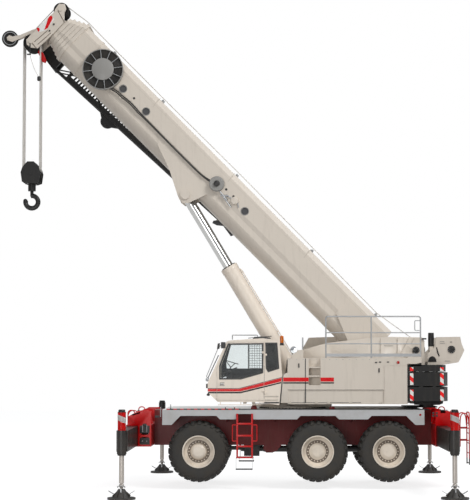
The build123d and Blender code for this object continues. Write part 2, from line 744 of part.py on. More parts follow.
# UPPER STRUCTURE
def upper_frame():
    """Turntable with the two tall plates that carry the boom foot, the winch and the lift cylinder."""
    y0, y1 = plate_inner_y, plate_inner_y + plate_thickness
    floor = upper_bottom + floor_thickness
    base = block(-1330, weight_front_x - pad_gap, -y1, y1, upper_bottom, floor)
    ring = rod_z(0, 0, ring_radius, ring_split + ring_gap, upper_bottom + 5)
    ring = ring - rod_z(0, 0, ring_radius - ring_wall, ring_split - 1, upper_bottom + 6)
    body = base + ring
    for x in (-1320, -1090):
        body = body + block(x, x + 80, -1380, -y1 + 5, upper_bottom + 10, cab_floor - pad_gap)
    outline = [(-560, floor - 10), (-420, 2700), (-60, 3060), (309, 3685), (927, 3853), (1669, 3942), (2100, 4000),
               (2629, 4020), (3496, 4005), (3560, 3900), (3560, weight_top + pad_gap), (weight_front_x - pad_gap, weight_top),
               (weight_front_x - pad_gap, floor - 10)]
    for side in (-1, 1):
        plate = side_plate(outline, *sorted((side * y0, side * y1)))
        body = body + plate
        body = body + rod_y(pivot_x, pivot_z, pivot_radius + 75, side * (y0 - 34), side * (y1 + 30))
        body = body - rod_y(main_drum_x, main_drum_z, main_drum_end + rod_gap, side * (y0 - 5), side * (y1 + 5))
        for x in (-120, 1350, 2900):
            a, b = sorted((side * (y1 - 2), side * (body_inner_y - pad_gap)))
            body = body + block(x - 20, x + 20, a, b, upper_bottom + 20, floor + 260)
        inner = lift_eye_half_width + lug_gap
        lug = side_plate([(lift_foot_x - 300, floor - 5), (lift_foot_x + 300, floor - 5), (lift_foot_x + 120, lift_foot_z),
                          (lift_foot_x - 120, lift_foot_z)], *sorted((side * inner, side * (inner + lug_thickness))))
        lug = lug + rod_y(lift_foot_x, lift_foot_z, lift_eye_radius - 10, side * inner, side * (inner + lug_thickness))
        pin = rod_y(lift_foot_x, lift_foot_z, lift_pin_radius, side * (lift_eye_half_width + 6), side * (inner + lug_thickness + 20))
        body = body + lug + pin
    body = body + rod_y(pivot_x, pivot_z, pivot_radius, -y1 - 60, y1 + 60)
    body = body + block(weight_front_x - 60, weight_front_x - 20, -y0 - 5, y0 + 5, floor - 5, 2700)
    tray = block(weight_front_x - 5, 3900, -y1, y1, upper_bottom + 10, slabs[0][1] - pad_gap)
    return body + tray


cab_outline = [(-1766, 3866), (-2252, 2793), (-2252, 2613), (-2221, 2510), (-1988, cab_floor), (-1000, cab_floor), (-371, 2206),
               (-292, 2975), (-360, 3844), (-420, 3905), (-800, 3966), (-1690, 3905)]


def shrink(points, d):
    """Moves each side of a closed outline inwards by a distance."""
    n = len(points)
    area = sum(points[k][0] * points[(k + 1) % n][1] - points[(k + 1) % n][0] * points[k][1] for k in range(n))
    sign = 1 if area > 0 else -1
    out = []
    for k in range(n):
        (ax, ay), (bx, by), (cx, cy) = points[k - 1], points[k], points[(k + 1) % n]
        l1, l2 = hypot(bx - ax, by - ay), hypot(cx - bx, cy - by)
        n1 = (-(by - ay) / l1 * sign, (bx - ax) / l1 * sign)
        n2 = (-(cy - by) / l2 * sign, (cx - bx) / l2 * sign)
        m = 1 + n1[0] * n2[0] + n1[1] * n2[1]
        out.append((bx + d * (n1[0] + n2[0]) / m, by + d * (n1[1] + n2[1]) / m))
    return out


door_outline = [(-1700, 3850), (-2005, 3180), (-2009, 2335), (-772, 2335), (-760, 3858)]
door_window = [(-1705, 3802), (-1927, 3240), (-1927, 2904), (-1383, 2904), (-815, 3065), (-807, 3810)]
rear_window = [(-714, 3826), (-700, 3170), (-654, 3096), (-392, 3178), (-442, 3826)]
door_gap = 8.0
door_hinge_x = -752.0
door_hinge_y = -body_side_y - 14
door_hinge_heights = (2560, 3560)
hinge_radius = 13.0
hinge_pin = 6.0


def cab_parts():
    y_out, y_in = -body_side_y, cab_inner_y
    shell = side_plate(cab_outline, y_out, y_in) - side_plate(shrink(cab_outline, cab_wall), y_out + cab_wall, y_in - cab_wall)
    hole = shrink(door_outline, -door_gap)
    shell = shell - side_plate(hole, y_out - 1, y_out + cab_wall + 1)
    shell = shell - side_plate(rear_window, y_out - 1, y_out + cab_wall + 1)
    shell = shell - side_plate(door_window, y_in - cab_wall - 1, y_in + 1)
    shell = shell - side_plate(rear_window, y_in - cab_wall - 1, y_in + 1)
    front = block(-2300, -1500, y_out + 75, y_in - 75, 2870, 3790)
    shell = shell - (front & side_plate([(-2400, 2870), (-1600, 2870), (-1600, 3790), (-1850, 3790)], y_out, y_in))
    shell = shell - block(-480, -200, y_out + 90, y_in - 90, 3120, 3760)
    shell = shell - block(-1480, -900, y_out + 130, y_in - 130, 3800, 4000)
    for z in door_hinge_heights:
        knuckle_low = rod_z(door_hinge_x, door_hinge_y, hinge_radius, z - 56, z)
        pin = rod_z(door_hinge_x, door_hinge_y, hinge_pin, z - 1, z + 56)
        leaf = block(door_hinge_x, door_hinge_x + 60, door_hinge_y - 6, y_out + 6, z - 54, z - 2)
        shell = shell + knuckle_low + pin + leaf
    glass = []
    mid = cab_wall / 2
    glass.append(side_plate(rear_window, y_out + mid - 6, y_out + mid + 6))
    glass.append(side_plate(door_window, y_in - mid - 6, y_in - mid + 6))
    glass.append(side_plate(rear_window, y_in - mid - 6, y_in - mid + 6))
    a, b = (-1766, 3866), (-2252, 2793)
    length = hypot(a[0] - b[0], a[1] - b[1])
    nx, nz = (a[1] - b[1]) / length, -(a[0] - b[0]) / length
    pane = []
    for off in (mid - 6, mid + 6):
        pane.append([(a[0] + (b[0] - a[0]) * t + nx * off, a[1] + (b[1] - a[1]) * t + nz * off) for t in (0.0, 1.0)])
    strip = side_plate([pane[0][0], pane[0][1], pane[1][1], pane[1][0]], y_out + 75, y_in - 75)
    glass.append(strip & block(-2400, -1500, y_out, y_in, 2870, 3790))
    rear_pane = side_plate([(-292 - mid - 6, 2975), (-292 - mid + 6, 2975), (-360 - mid + 6, 3844), (-360 - mid - 6, 3844)],
                           y_out + 90, y_in - 90)
    glass.append(rear_pane & block(-480, -200, y_out, y_in, 3120, 3760))
    roof = side_plate([(-1690, 3905 - mid - 6), (-1690, 3905 - mid + 6), (-800, 3966 - mid + 6), (-800, 3966 - mid - 6)],
                      y_out + 130, y_in - 130)
    glass.append(roof & block(-1480, -900, y_out, y_in, 3700, 4000))
    return shell, glass


def cab_inside():
    """Seat, consoles, pedals and steering column."""
    y = (-body_side_y + cab_inner_y) / 2
    floor = cab_floor + cab_wall
    base = block(-1250, -820, y - 150, y + 150, floor, floor + 260)
    cushion = block(-1330, -800, y - 235, y + 235, floor + 260, floor + 390)
    back = side_plate([(-880, floor + 390), (-760, floor + 390), (-640, 3330), (-740, 3330)], y - 225, y + 225)
    head = side_plate([(-735, 3330), (-660, 3330), (-640, 3480), (-700, 3480)], y - 120, y + 120)
    seat = base + cushion + back + head
    pods = []
    for side in (-1, 1):
        pod = side_plate([(-1480, floor), (-1150, floor), (-900, 2830), (-1500, 2830)], y + side * 255, y + side * 340)
        pods.append(pod + rod_z(-1420, y + side * 297, 22, 2820, 2960))
    column = side_plate([(-1760, floor), (-1600, floor), (-1640, 3030), (-1700, 3030)], y - 60, y + 60)
    wheel = Pos(-1690, y, 3110) * Rot(0, -22, 0) * Torus(205, 16)
    spokes = Pos(-1690, y, 3110) * Rot(0, -22, 0) * (Box(400, 34, 16) + Box(34, 400, 16) + Pos(0, 0, -40) * Cylinder(38, 110))
    column = column + wheel + spokes
    return [seat, column] + pods


def cab_door():
    y = -body_side_y
    panel = side_plate(door_outline, y, y + cab_wall) - side_plate(door_window, y - 1, y + cab_wall + 1)
    grab = block(-1950, -1810, y - 16, y + 4, 2725, 2790) - block(-1930, -1830, y - 20, y - 6, 2740, 2775)
    panel = panel + grab
    for z in door_hinge_heights:
        leaf = block(door_hinge_x - 70, door_hinge_x, door_hinge_y - 6, y - 0.5, z + 4, z + 58)
        leaf = leaf + block(door_hinge_x - 70, door_hinge_x - 32, y - 1, y + 6, z + 4, z + 58)
        panel = panel + leaf + rod_z(door_hinge_x, door_hinge_y, hinge_radius, z + 2, z + 60)
        panel = panel - rod_z(door_hinge_x, door_hinge_y, hinge_pin + rod_gap, z + 1, z + 61)
    pane = side_plate(door_window, y + cab_wall / 2 - 6, y + cab_wall / 2 + 6)
    return panel, pane


def left_housing():
    """Left body behind the cab with its steps, lower sill and end panel."""
    y = -body_side_y
    body = block(body_front_x, body_rear_x, y, -body_inner_y, body_bottom, body_top)
    hood = side_plate([(-40, body_top - 5), (-40, 3520), (70, 3640), (270, 3668), (270, body_top - 5)], y + 40, -body_inner_y)
    body = body + hood
    body = body - block(409, 715, y - 1, y + 230, 2730, body_top + 1)
    for z in (2950, 3180):
        body = body + block(405, 719, y + 20, y + 232, z, z + 34)
    body = body - block(body_front_x - 1, 2380, y - 1, y + 22, body_bottom - 1, 2600)
    body = body - block(2384, 2394, y - 1, y + 12, body_bottom - 1, 3236)
    body = body - block(2394, body_rear_x + 1, y - 1, y + 8, 3232, 3242)
    tail = block(body_rear_x - 5, 3379, y, -body_inner_y - 0, 3290, body_top + 25)
    body = body + tail
    return body


def engine_housing():
    """Right body with the engine behind louvres."""
    y = body_side_y
    body = block(-700, body_rear_x, body_inner_y, y, body_bottom, body_top)
    for k in range(9):
        x = 300 + k * 150
        body = body - block(x, x + 90, y - 40, y + 1, 2700, 3250)
        body = body + Pos(x + 45, y - 22, 2975) * Rot(0, 0, 35) * Box(8, 60, 560)
    body = body - block(2384, 2394, y - 12, y + 1, body_bottom - 1, 3236)
    tail = block(body_rear_x - 5, 3379, body_inner_y, y, 3290, body_top + 25)
    stack = rod_z(1900, 1150, 70, body_top - 5, 3640)
    cover = side_plate([(295, body_top - 5), (305, 3720), (475, 4020), (1270, 4045), (1710, 3965), (1740, body_top - 5)],
                       body_inner_y + 60, body_side_y - 100)
    return body + tail + stack + cover


def counterweight():
    out = []
    for name, z0, z1, inset in slabs:
        y = body_side_y
        r = weight_rear_x - inset
        plan = [(weight_front_x, -y), (r - 130, -y), (r, -y + 330), (r, y - 330), (r - 130, y), (weight_front_x, y)]
        slab = plan_plate(plan, z0, z1)
        if out:
            for x in (weight_front_x + 200, weight_rear_x - 300):
                for y_boss in (-1050, 1050):
                    slab = slab + rod_z(x, y_boss, 60, below + pad_gap, z0 + 1)
        below = z1
        out.append(slab)
    return out


def winch_frame():
    """Side plates and cross members of the rear winch, seated on the counterweight."""
    body = None
    top = slabs[2][2]
    outline = [(3640, top + 0.3), (4051, top + 0.3), (4470, 3330), (4560, 3500), (4631, 3660), (4560, 3830),
               (4520, 4020), (3860, 4010), (3850, 3760), (3640, 3560)]
    for side in (-1, 1):
        a, b = sorted((side * (plate_inner_y + plate_thickness + 6), side * (plate_inner_y + plate_thickness + 36)))
        plate = side_plate(outline, a, b)
        plate = plate - rod_y(aux_drum_x, aux_drum_z, aux_drum_end + rod_gap, a - 1, b + 1)
        body = plate if body is None else body + plate
    y = plate_inner_y + plate_thickness + 10
    body = body + block(3640, 3700, -y, y, top + 0.3, top + 90)
    body = body + block(3960, 4020, -y, y, top + 0.3, top + 90)
    body = body + block(4420, 4500, -y, y, 3940, 3990)
    roller = rod_z(3745, -478, 76, 3560, 4112)
    bracket = block(3705, 3785, -y, -470, 3600, 3660)
    return body + roller + bracket


def drum(x, z, half, end_radius):
    """Winch drum with flanges and its gear case ends."""
    points = [(0.01, -half - 150), (end_radius, -half - 150), (end_radius, -half), (flange_radius, -half),
              (flange_radius, -half + 22), (drum_radius, -half + 22), (drum_radius, half - 22), (flange_radius, half - 22),
              (flange_radius, half), (end_radius, half), (end_radius, half + 150), (0.01, half + 150)]
    return turned(points, x, z)


def handrails():
    r = rail_radius
    y = -rail_y
    low = body_top
    posts = (862, 2060, 3359)
    out = tube([(posts[0], y, low + 0.3), (posts[0], y, 4540), (posts[2], y, 4540), (posts[2], y, low + 25.3)], r, 60)
    out = out + rod_z(posts[1], y, r, low + 0.3, 4540)
    for z in (4113, 3820):
        out = out + rod_x(y, z, r * 0.8, posts[0], posts[2])
    out = out + block(posts[0] - 10, posts[2] + 10, y - 8, y + 8, 3480, 3560)
    out = out + tube([(posts[2] - 60, y, 4430), (posts[2] - 150, y, 4430), (posts[2] - 150, y, 4170), (posts[2] - 60, y, 4170)], 12, 30)
    out = out + rod_x(y, 4430, 12, posts[2] - 62, posts[2]) + rod_x(y, 4170, 12, posts[2] - 62, posts[2])
    grab = rod_z(250, y, r, body_top + 223.3, 3985)
    return [out, grab]


def lamps():
    """Beacon behind the cab roof, mirror and lamps at the front of the cab."""
    beacon_x, beacon_y = -300.0, -1380.0
    beacon = block(-354.35, beacon_x + 60, beacon_y - 50, beacon_y + 50, 3776, 3800)
    beacon = beacon + rod_z(beacon_x, beacon_y, 50, 3790, 3835) + rod_z(beacon_x, beacon_y, 42, 3830, 3990)
    beacon = beacon + Pos(beacon_x, beacon_y, 3990) * Sphere(42)
    arm = rod_y(-1785, 3785, 11, -1650, -body_side_y - pad_gap)
    mirror = block(-1900, -1780, -1662, -1630, 3700, 3860) + arm
    lamp_parts = [beacon, mirror]
    for y in (-1330, -790):
        lamp = block(-2300, -2252 - pad_gap, y - 75, y + 75, 2650, 2760)
        lamp_parts.append(lamp)
    return lamp_parts


# ROPES AND HOOK
def rope_ends():
    """Side-view places of the falls, lead side and dead side, and the height of the sheave's axis."""
    sx, sz = boom_point(lower_sheave_u, lower_sheave_v)
    reach = sheave_radius - groove_depth + rope_seat
    return sx - reach, sx + reach, sz


def hook_block():
    """Hook block: cheek plates with sheaves between them and the trunnion."""
    lead_x, dead_x, _ = rope_ends()
    cx = (lead_x + dead_x) / 2
    top = block_top_z
    axle_z = top - 330
    outline = [(cx - 90, top), (cx + 90, top), (cx + 230, top - 160), (cx + 272, top - 300), (cx + 235, top - 560),
               (cx + 120, top - 600), (cx - 120, top - 600), (cx - 235, top - 560), (cx - 272, top - 300), (cx - 230, top - 160)]
    body = None
    for y in (-262, -8, 238):
        plate = side_plate(outline, y, y + 24)
        body = plate if body is None else body + plate
    body = body + rod_y(cx, axle_z, 46, -275, 275)
    for y in fall_ys:
        body = body + sheave(cx, axle_z, y, sheave_radius, 40)
    cross = block(cx - 118, cx + 118, -262, 262, top - 600, top - 520)
    body = body + cross
    head = rod_z(cx, 0, 105, top - 790, top - 595) - rod_z(cx, 0, 47, top - 791, top - 700)
    head = head - rod_z(cx, 0, 75, top - 705, top - 640)
    body = body + head
    return body, cx


def hook(cx):
    """Forged hook with its shank."""
    z = block_top_z - 1090
    ring = Pos(cx, 0, z) * Rot(90, 0, 0) * Torus(172, 66)
    gap = side_plate([(cx - 20, z + 30), (cx - 400, z + 30), (cx - 400, z + 420), (cx - 20, z + 420)], -120, 120)
    body = ring - gap
    body = body + rod_z(cx, 0, 46, z + 150, block_top_z - 700)
    body = body + rod_z(cx, 0, 74, block_top_z - 704, block_top_z - 641)
    tip = Pos(cx - 178, 0, z + 30) * Sphere(60)
    return body + tip


def ropes():
    lead_x, dead_x, top = rope_ends()
    out = []
    low = block_top_z - 330
    for y in fall_ys:
        for x in (lead_x, dead_x):
            out.append(rod_z(x, y, rope_radius, low + 4, top - 4))
    return out


# LADDERS
def ladders():
    """Steps below the deck on each side and the ladder at the rear left corner."""
    out = []
    for side in (-1, 1):
        y0, y1 = side * (deck_half_width + 14), side * (deck_half_width - 190)
        whole = None
        for x in (ladder_x0 + 40, ladder_x1 - 40):
            a, b = sorted((y0, y0 - side * 50))
            rail = block(x - 26, x + 26, a, b, 950, 1970) + block(x - 8, x + 8, a, b, 600, 960)
            arm = block(x - 8, x + 8, *sorted((y0 - side * 10, side * (frame_half_width + 0.3))), 1700, 1760)
            reach = 132 if x > ladder_x0 + 200 else -132
            mid = y0 - side * 25
            loop = tube([(x, mid, 1692), (x + reach, mid, 1692), (x + reach, mid, 1271), (x, mid, 1271)], 15, 55)
            piece = rail + arm + loop
            whole = piece if whole is None else whole + piece
        for z in (620, 900, 1180, 1460, 1730):
            a, b = sorted((y0, y1))
            whole = whole + block(ladder_x0 + 40, ladder_x1 - 40, a, b, z, z + 26)
        out.append(whole)
        for end in (-1, 1):
            y = side * (deck_half_width - 110)
            x0, x1 = end * (outer_beam_x + 126), end * (outer_beam_x - 50)
            whole = tube([(x0, y, box_top + pad_gap), (x0, y, 2070), (x1, y, 2070), (x1, y, box_top + pad_gap)], 15, 80)
            out.append(whole)
    x, r = box_outer + 248, 17.0
    near, far = -1450.0, -980.0
    arch = tube([(x, near, 640), (x, near, 2010), (x, far, 2010), (x, far, 640)], r, 70)
    for z in (680, 940, 1200, 1460, 1720):
        arch = arch + rod_y(x, z, r * 0.8, near, far)
    for y in (near, far):
        for z in (1280, 1600):
            arch = arch + rod_x(y, z, r * 0.8, box_outer + pad_gap, x)
    out.append(arch)
    return out


def beam(end, side):
    """Outrigger beam with its jack tube."""
    x = beam_x(end, side)
    y_in, y_out = side * beam_engaged_y, side * (jack_y - 60)
    a, b = sorted((y_in, y_out))
    body = block(x - beam_width / 2, x + beam_width / 2, a, b, beam_bottom, beam_bottom + beam_height)
    a2, b2 = sorted((y_in - side, y_out - side * 200))
    w = beam_wall
    body = body - block(x - beam_width / 2 + w, x + beam_width / 2 - w, a2, b2, beam_bottom + w, beam_bottom + beam_height - w)
    y = side * jack_y
    body = body + rod_z(x, y, jack_housing_radius, jack_housing_bottom, beam_bottom + beam_height + 8)
    body = body + rod_z(x, y, jack_tube_radius, jack_housing_bottom, jack_tube_top)
    body = body + rod_z(x, y, jack_tube_radius - 20, jack_tube_top, jack_tube_top + jack_cap)
    body = body - rod_z(x, y, rod_radius + rod_gap, jack_housing_bottom - 1, jack_tube_top - 20)
    return body


def jack(end, side):
    """Jack rod with its float."""
    x, y = beam_x(end, side), side * jack_y
    rod = rod_z(x, y, rod_radius, 392, rod_top) + rod_z(x, y, 34, 250, 392)
    ball = Pos(x, y, 330) * Sphere(62)
    cone = Pos(x, y, float_plate + (float_height - float_plate) / 2) * Cone(float_radius * 0.66, 78, float_height - float_plate)
    plate = rod_z(x, y, float_radius, 0, float_plate)
    return rod + ball + cone + plate


# BUILD
save("carrier_frame", carrier_frame())
save("deck", deck())
save("outrigger_boxes", outrigger_box(-1), outrigger_box(1))
save("axles_and_driveline", *axle_set())
ring_part = rod_z(0, 0, ring_radius, ring_low, ring_split) - rod_z(0, 0, ring_radius - ring_wall, ring_low - 1, ring_split + 1)
save("slew_ring", ring_part)
save("ladders", *ladders())
for end_name, end in (("front", -1), ("rear", 1)):
    for side_name, side in (("left", -1), ("right", 1)):
        save("beam_" + end_name + "_" + side_name, beam(end, side))
        save("jack_" + end_name + "_" + side_name, jack(end, side))
tyre_shape = tyre()
for axle_name, axle_x, share in axles:
    for side_name, side in (("left", -1), ("right", 1)):
        tag = axle_name + "_" + side_name
        save("knuckle_" + tag, knuckle(axle_x, side))
        save("rim_" + tag, rim(axle_x, side, axle_name == "front"))
        save("tyre_" + tag, Pos(axle_x, side * (tyre_outer_y - tyre_width / 2), axle_height) * tyre_shape)
save("upper_frame", upper_frame())
shell, glass = cab_parts()
save("cab_shell", shell)
save("cab_windows", *glass)
save("cab_interior", *cab_inside())
panel, pane = cab_door()
save("cab_door", panel)
save("cab_door_window", pane)
save("left_housing", left_housing())
save("engine_housing", engine_housing())
save("counterweight", *counterweight())
save("winch_frame", winch_frame())
save("handrails", *handrails())
save("lamps_and_mirrors", *lamps())
save("main_drum", drum(main_drum_x, main_drum_z, drum_half_length, main_drum_end))
save("rear_drum", drum(aux_drum_x, aux_drum_z, drum_half_length, aux_drum_end))
save("boom_base", on_boom(base_section()))
for n in range(1, section_count):
    save("boom_section_" + str(n), on_boom(inner_section(n)))
save("boom_tip", on_boom(tip_section()))
sheaves = []
for y in fall_ys:
    sheaves.append(sheave(-lower_sheave_u, lower_sheave_v, y, sheave_radius, sheave_pin + rod_gap))
    sheaves.append(sheave(-upper_sheave_u, upper_sheave_v, y, upper_sheave_radius, sheave_pin + rod_gap))
sheaves.append(sheave(-nose_sheave_u, nose_sheave_v, 0, nose_sheave_radius, 42 + rod_gap))
save("sheaves", *[on_boom(s) for s in sheaves])
save("cable_reels", on_boom(reel()), on_boom(small_reel()))
save("fly_jib", on_boom(fly()))
save("lift_barrel", on_lift(lift_barrel()))
save("lift_rod", on_lift(lift_rod()))
block_body, block_x = hook_block()
save("hook_block", block_body)
save("hook", hook(block_x))
save("hoist_ropes", *ropes())
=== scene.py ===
# %% [markdown]
# # A rough terrain crane, dressed for its portrait
#
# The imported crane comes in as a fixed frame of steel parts. This lesson gives every part
# its paint, rubber or glass, and adds what the solids leave out: tread bars, wire rope,
# hazard stripes, window seals, pipes and handles. Distances are metres, the floor is
# z = 0, +X is the rear of the carrier and -Y is the side that carries the cab.

import math

import bmesh
import bpy
from mathutils import Matrix, Vector


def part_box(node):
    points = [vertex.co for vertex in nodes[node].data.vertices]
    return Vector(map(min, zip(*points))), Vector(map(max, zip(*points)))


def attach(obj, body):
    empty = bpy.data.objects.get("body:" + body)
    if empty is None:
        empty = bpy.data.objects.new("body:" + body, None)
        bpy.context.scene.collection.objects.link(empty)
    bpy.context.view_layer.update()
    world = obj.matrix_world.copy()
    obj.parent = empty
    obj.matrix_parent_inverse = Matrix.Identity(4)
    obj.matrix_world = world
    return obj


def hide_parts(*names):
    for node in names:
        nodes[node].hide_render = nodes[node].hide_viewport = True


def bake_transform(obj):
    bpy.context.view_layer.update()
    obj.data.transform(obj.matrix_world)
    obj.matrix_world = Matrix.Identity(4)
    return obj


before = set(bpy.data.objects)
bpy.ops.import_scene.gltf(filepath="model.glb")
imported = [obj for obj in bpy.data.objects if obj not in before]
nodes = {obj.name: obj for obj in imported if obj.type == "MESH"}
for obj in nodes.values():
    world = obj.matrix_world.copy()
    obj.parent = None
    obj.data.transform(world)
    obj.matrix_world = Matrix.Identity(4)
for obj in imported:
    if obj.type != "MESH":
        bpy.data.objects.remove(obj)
scene = bpy.context.scene


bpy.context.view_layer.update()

# %% [markdown]
# ## The camera
#
# The crane is seen square from its left side, from far away, with the lens at about the
# height of the cab. The camera looks up a little, which makes the jacks and ropes lean in
# very slightly towards the top, and a small lens shift does the rest of the framing.

# %% Camera
camera_data = bpy.data.cameras.new("camera")
camera_data.sensor_fit = "VERTICAL"
camera_data.sensor_height = 36.0
camera_data.lens = 101.09
camera_data.shift_x = -0.0733
camera_data.shift_y = 0.1043
camera_data.clip_end = 400.0
camera = bpy.data.objects.new("camera", camera_data)
camera.location = (1.121, -38.5, 3.3)
look_up = 2.5
camera.rotation_euler = (math.radians(90.0 + look_up), 0.0, 0.0)
scene.collection.objects.link(camera)
scene.camera = camera
print("camera lens:", camera_data.lens, "mm")

# %% [markdown]
# ## Small helpers for materials
#
# Every finish below is a handful of shader nodes. `node` adds one and fills its sockets by
# name, `mix` blends two colours, `maths` does arithmetic, and `patches` turns noise into
# soft spots between two values.

# %% Helpers for any node tree


def wire(tree, value, socket):
    """Links a socket to another one, or sets a plain value on it."""
    if isinstance(value, bpy.types.NodeSocket):
        tree.links.new(value, socket)
    else:
        socket.default_value = value


def fill(tree, made, **inputs):
    """Wires a node's sockets by their names, with _ for each space in a name."""
    for key, value in inputs.items():
        wire(tree, value, made.inputs[key.replace("_", " ")])
    return made


def node(tree, kind, settings=None, **inputs):
    """Adds a node with its settings and fills its sockets."""
    made = tree.nodes.new(kind)
    for key, value in (settings or {}).items():
        setattr(made, key, value)
    return fill(tree, made, **inputs)


def by_number(tree, made, values):
    """Wires sockets that share a name, by their numbers."""
    for number, value in values.items():
        wire(tree, value, made.inputs[number])
    return made


def maths(tree, way, *values):
    """Arithmetic on one number or two."""
    made = node(tree, "ShaderNodeMath", {"operation": way})
    return by_number(tree, made, dict(enumerate(values))).outputs[0]


def mix(tree, factor, first, second):
    """Blends two colours by a factor."""
    made = node(tree, "ShaderNodeMix", {"data_type": "RGBA"})
    return by_number(tree, made, {0: factor, 6: first, 7: second}).outputs[2]


def span(tree, value, low, high, out_low=0.0, out_high=1.0):
    """Maps a number from one range to another and holds it inside."""
    made = node(tree, "ShaderNodeMapRange", {"clamp": True}, Value=value, From_Min=low,
                From_Max=high, To_Min=out_low, To_Max=out_high)
    return made.outputs[0]


# %% Helpers for surfaces


def srgb(red_part, green_part, blue_part):
    """A colour as picked from a picture, turned into plain amounts of light."""
    out = []
    for value in (red_part / 255.0, green_part / 255.0, blue_part / 255.0):
        out.append(value / 12.92 if value <= 0.04045 else ((value + 0.055) / 1.055) ** 2.4)
    return (*out, 1.0)


def shade(colour, share):
    """A colour made darker or lighter by a share, but not past white."""
    return [min(1.0, value * share) for value in colour[:3]] + [1.0]


def object_place(tree, scale=(1.0, 1.0, 1.0)):
    """The place on the object, stretched where a pattern runs one way."""
    coords = node(tree, "ShaderNodeTexCoord")
    return node(tree, "ShaderNodeMapping", Vector=coords.outputs["Object"], Scale=scale).outputs["Vector"]


def noise(tree, place, scale, detail=3.0, rough=0.5):
    """Soft random grain between nought and one."""
    made = node(tree, "ShaderNodeTexNoise", Vector=place, Scale=scale, Detail=detail, Roughness=rough)
    return made.outputs["Fac"]


def patches(tree, place, grain, low, high, out_low=0.0, out_high=1.0):
    """Spots of noise: grain is its scale, detail and roughness, low and high cut it."""
    return span(tree, noise(tree, place, *grain), low, high, out_low, out_high)


def bumps(tree, shader, height, strength, distance):
    """Lets a height raise the surface a little."""
    bump = node(tree, "ShaderNodeBump", Height=height, Strength=strength, Distance=distance)
    fill(tree, shader, Normal=bump.outputs["Normal"])


def new_material(name):
    """An empty material: itself, its tree, its surface shader and the place on the object."""
    material = bpy.data.materials.new(name)
    material.use_nodes = True
    tree = material.node_tree
    tree.nodes.clear()
    shader = node(tree, "ShaderNodeBsdfPrincipled")
    node(tree, "ShaderNodeOutputMaterial", Surface=shader.outputs[0])
    return material, tree, shader, object_place(tree)


# %% [markdown]
# ## Light and floor
#
# A studio shot on white: a large key lamp high up on the right, a weaker one low on the
# left for the shaded sides, one behind for the edges, and an even pale world. The white
# behind the crane is only what the camera and the glass see of that world, so the paint
# itself is lit at a plain level.

# %% Lamps


def lamp(name, place, aim, size, power):
    """A square soft lamp that looks at a point."""
    data = bpy.data.lights.new(name, "AREA")
    data.shape = "SQUARE"
    data.size = size
    data.energy = power
    light = bpy.data.objects.new(name, data)
    light.location = place
    light.visible_camera = False
    light.rotation_euler = (Vector(aim) - Vector(place)).to_track_quat("-Z", "Y").to_euler()
    scene.collection.objects.link(light)


scene.view_settings.view_transform = "Standard"
lamp("key", (19.0, -19.0, 27.0), (0.0, 0.0, 4.0), 11.0, 5600.0)
lamp("fill", (-5.6, -22.0, 4.5), (0.5, -1.5, 4.0), 9.0, 1150.0)
lamp("back", (4.0, 22.0, 22.0), (0.0, 0.0, 5.0), 14.0, 1600.0)

# %% World
world = bpy.data.worlds.new("studio")
world.use_nodes = True
scene.world = world
tree = world.node_tree
tree.nodes.clear()
white = (1.0, 1.0, 1.0, 1.0)
rays = node(tree, "ShaderNodeLightPath").outputs
seen = maths(tree, "MAXIMUM", rays["Is Camera Ray"], rays["Is Transmission Ray"])
way = node(tree, "ShaderNodeTexCoord").outputs["Generated"]
rise = node(tree, "ShaderNodeSeparateXYZ", Vector=way).outputs["Z"]
sky = node(tree, "ShaderNodeBackground", Color=(0.95, 0.97, 1.0, 1.0),
           Strength=span(tree, rise, -0.4, 0.7, 0.1, 0.62))
backdrop = node(tree, "ShaderNodeBackground", Color=white, Strength=1.0)
pick = by_number(tree, node(tree, "ShaderNodeMixShader"), {0: seen, 1: sky.outputs[0],
                                                           2: backdrop.outputs[0]})
node(tree, "ShaderNodeOutputWorld", Surface=pick.outputs[0])

# %% [markdown]
# ## The floor
#
# The floor is matt and nearly white. What the camera, glass and metal see of it is lifted
# a little, so it melts into the white studio and still keeps the crane's soft shadow.

# %% Floor
reach = 60.0
floor_mesh = bpy.data.meshes.new("floor")
corners = [(-reach, -reach, 0.0), (reach, -reach, 0.0), (reach, reach, 0.0), (-reach, reach, 0.0)]
floor_mesh.from_pydata(corners, [], [(0, 1, 2, 3)])
floor = bpy.data.objects.new("floor", floor_mesh)
scene.collection.objects.link(floor)

floor_paint = bpy.data.materials.new("studio floor")
floor_paint.use_nodes = True
tree = floor_paint.node_tree
tree.nodes.clear()
rays = node(tree, "ShaderNodeLightPath").outputs
looks = maths(tree, "MAXIMUM", rays["Is Camera Ray"], rays["Is Glossy Ray"])
looks = maths(tree, "MAXIMUM", looks, rays["Is Transmission Ray"])
matt = node(tree, "ShaderNodeBsdfDiffuse", Color=(0.34, 0.34, 0.34, 1.0))
lift = node(tree, "ShaderNodeEmission", Color=white, Strength=maths(tree, "MULTIPLY", looks, 0.8))
total = by_number(tree, node(tree, "ShaderNodeAddShader"), {0: matt.outputs[0], 1: lift.outputs[0]})
node(tree, "ShaderNodeOutputMaterial", Surface=total.outputs[0])
floor.data.materials.append(floor_paint)
print("floor reaches", reach, "m")

# %% [markdown]
# ## Machine paint
#
# The crane wears thick gloss enamel. Up close it has a faint orange peel; from a few
# steps away the eye reads slow drifts of shade, dust that hangs on low surfaces, and rain
# streaks that run straight down. All of it is noise on the object's own coordinates, so
# nothing slides when a section telescopes out.

# %% Paint maker


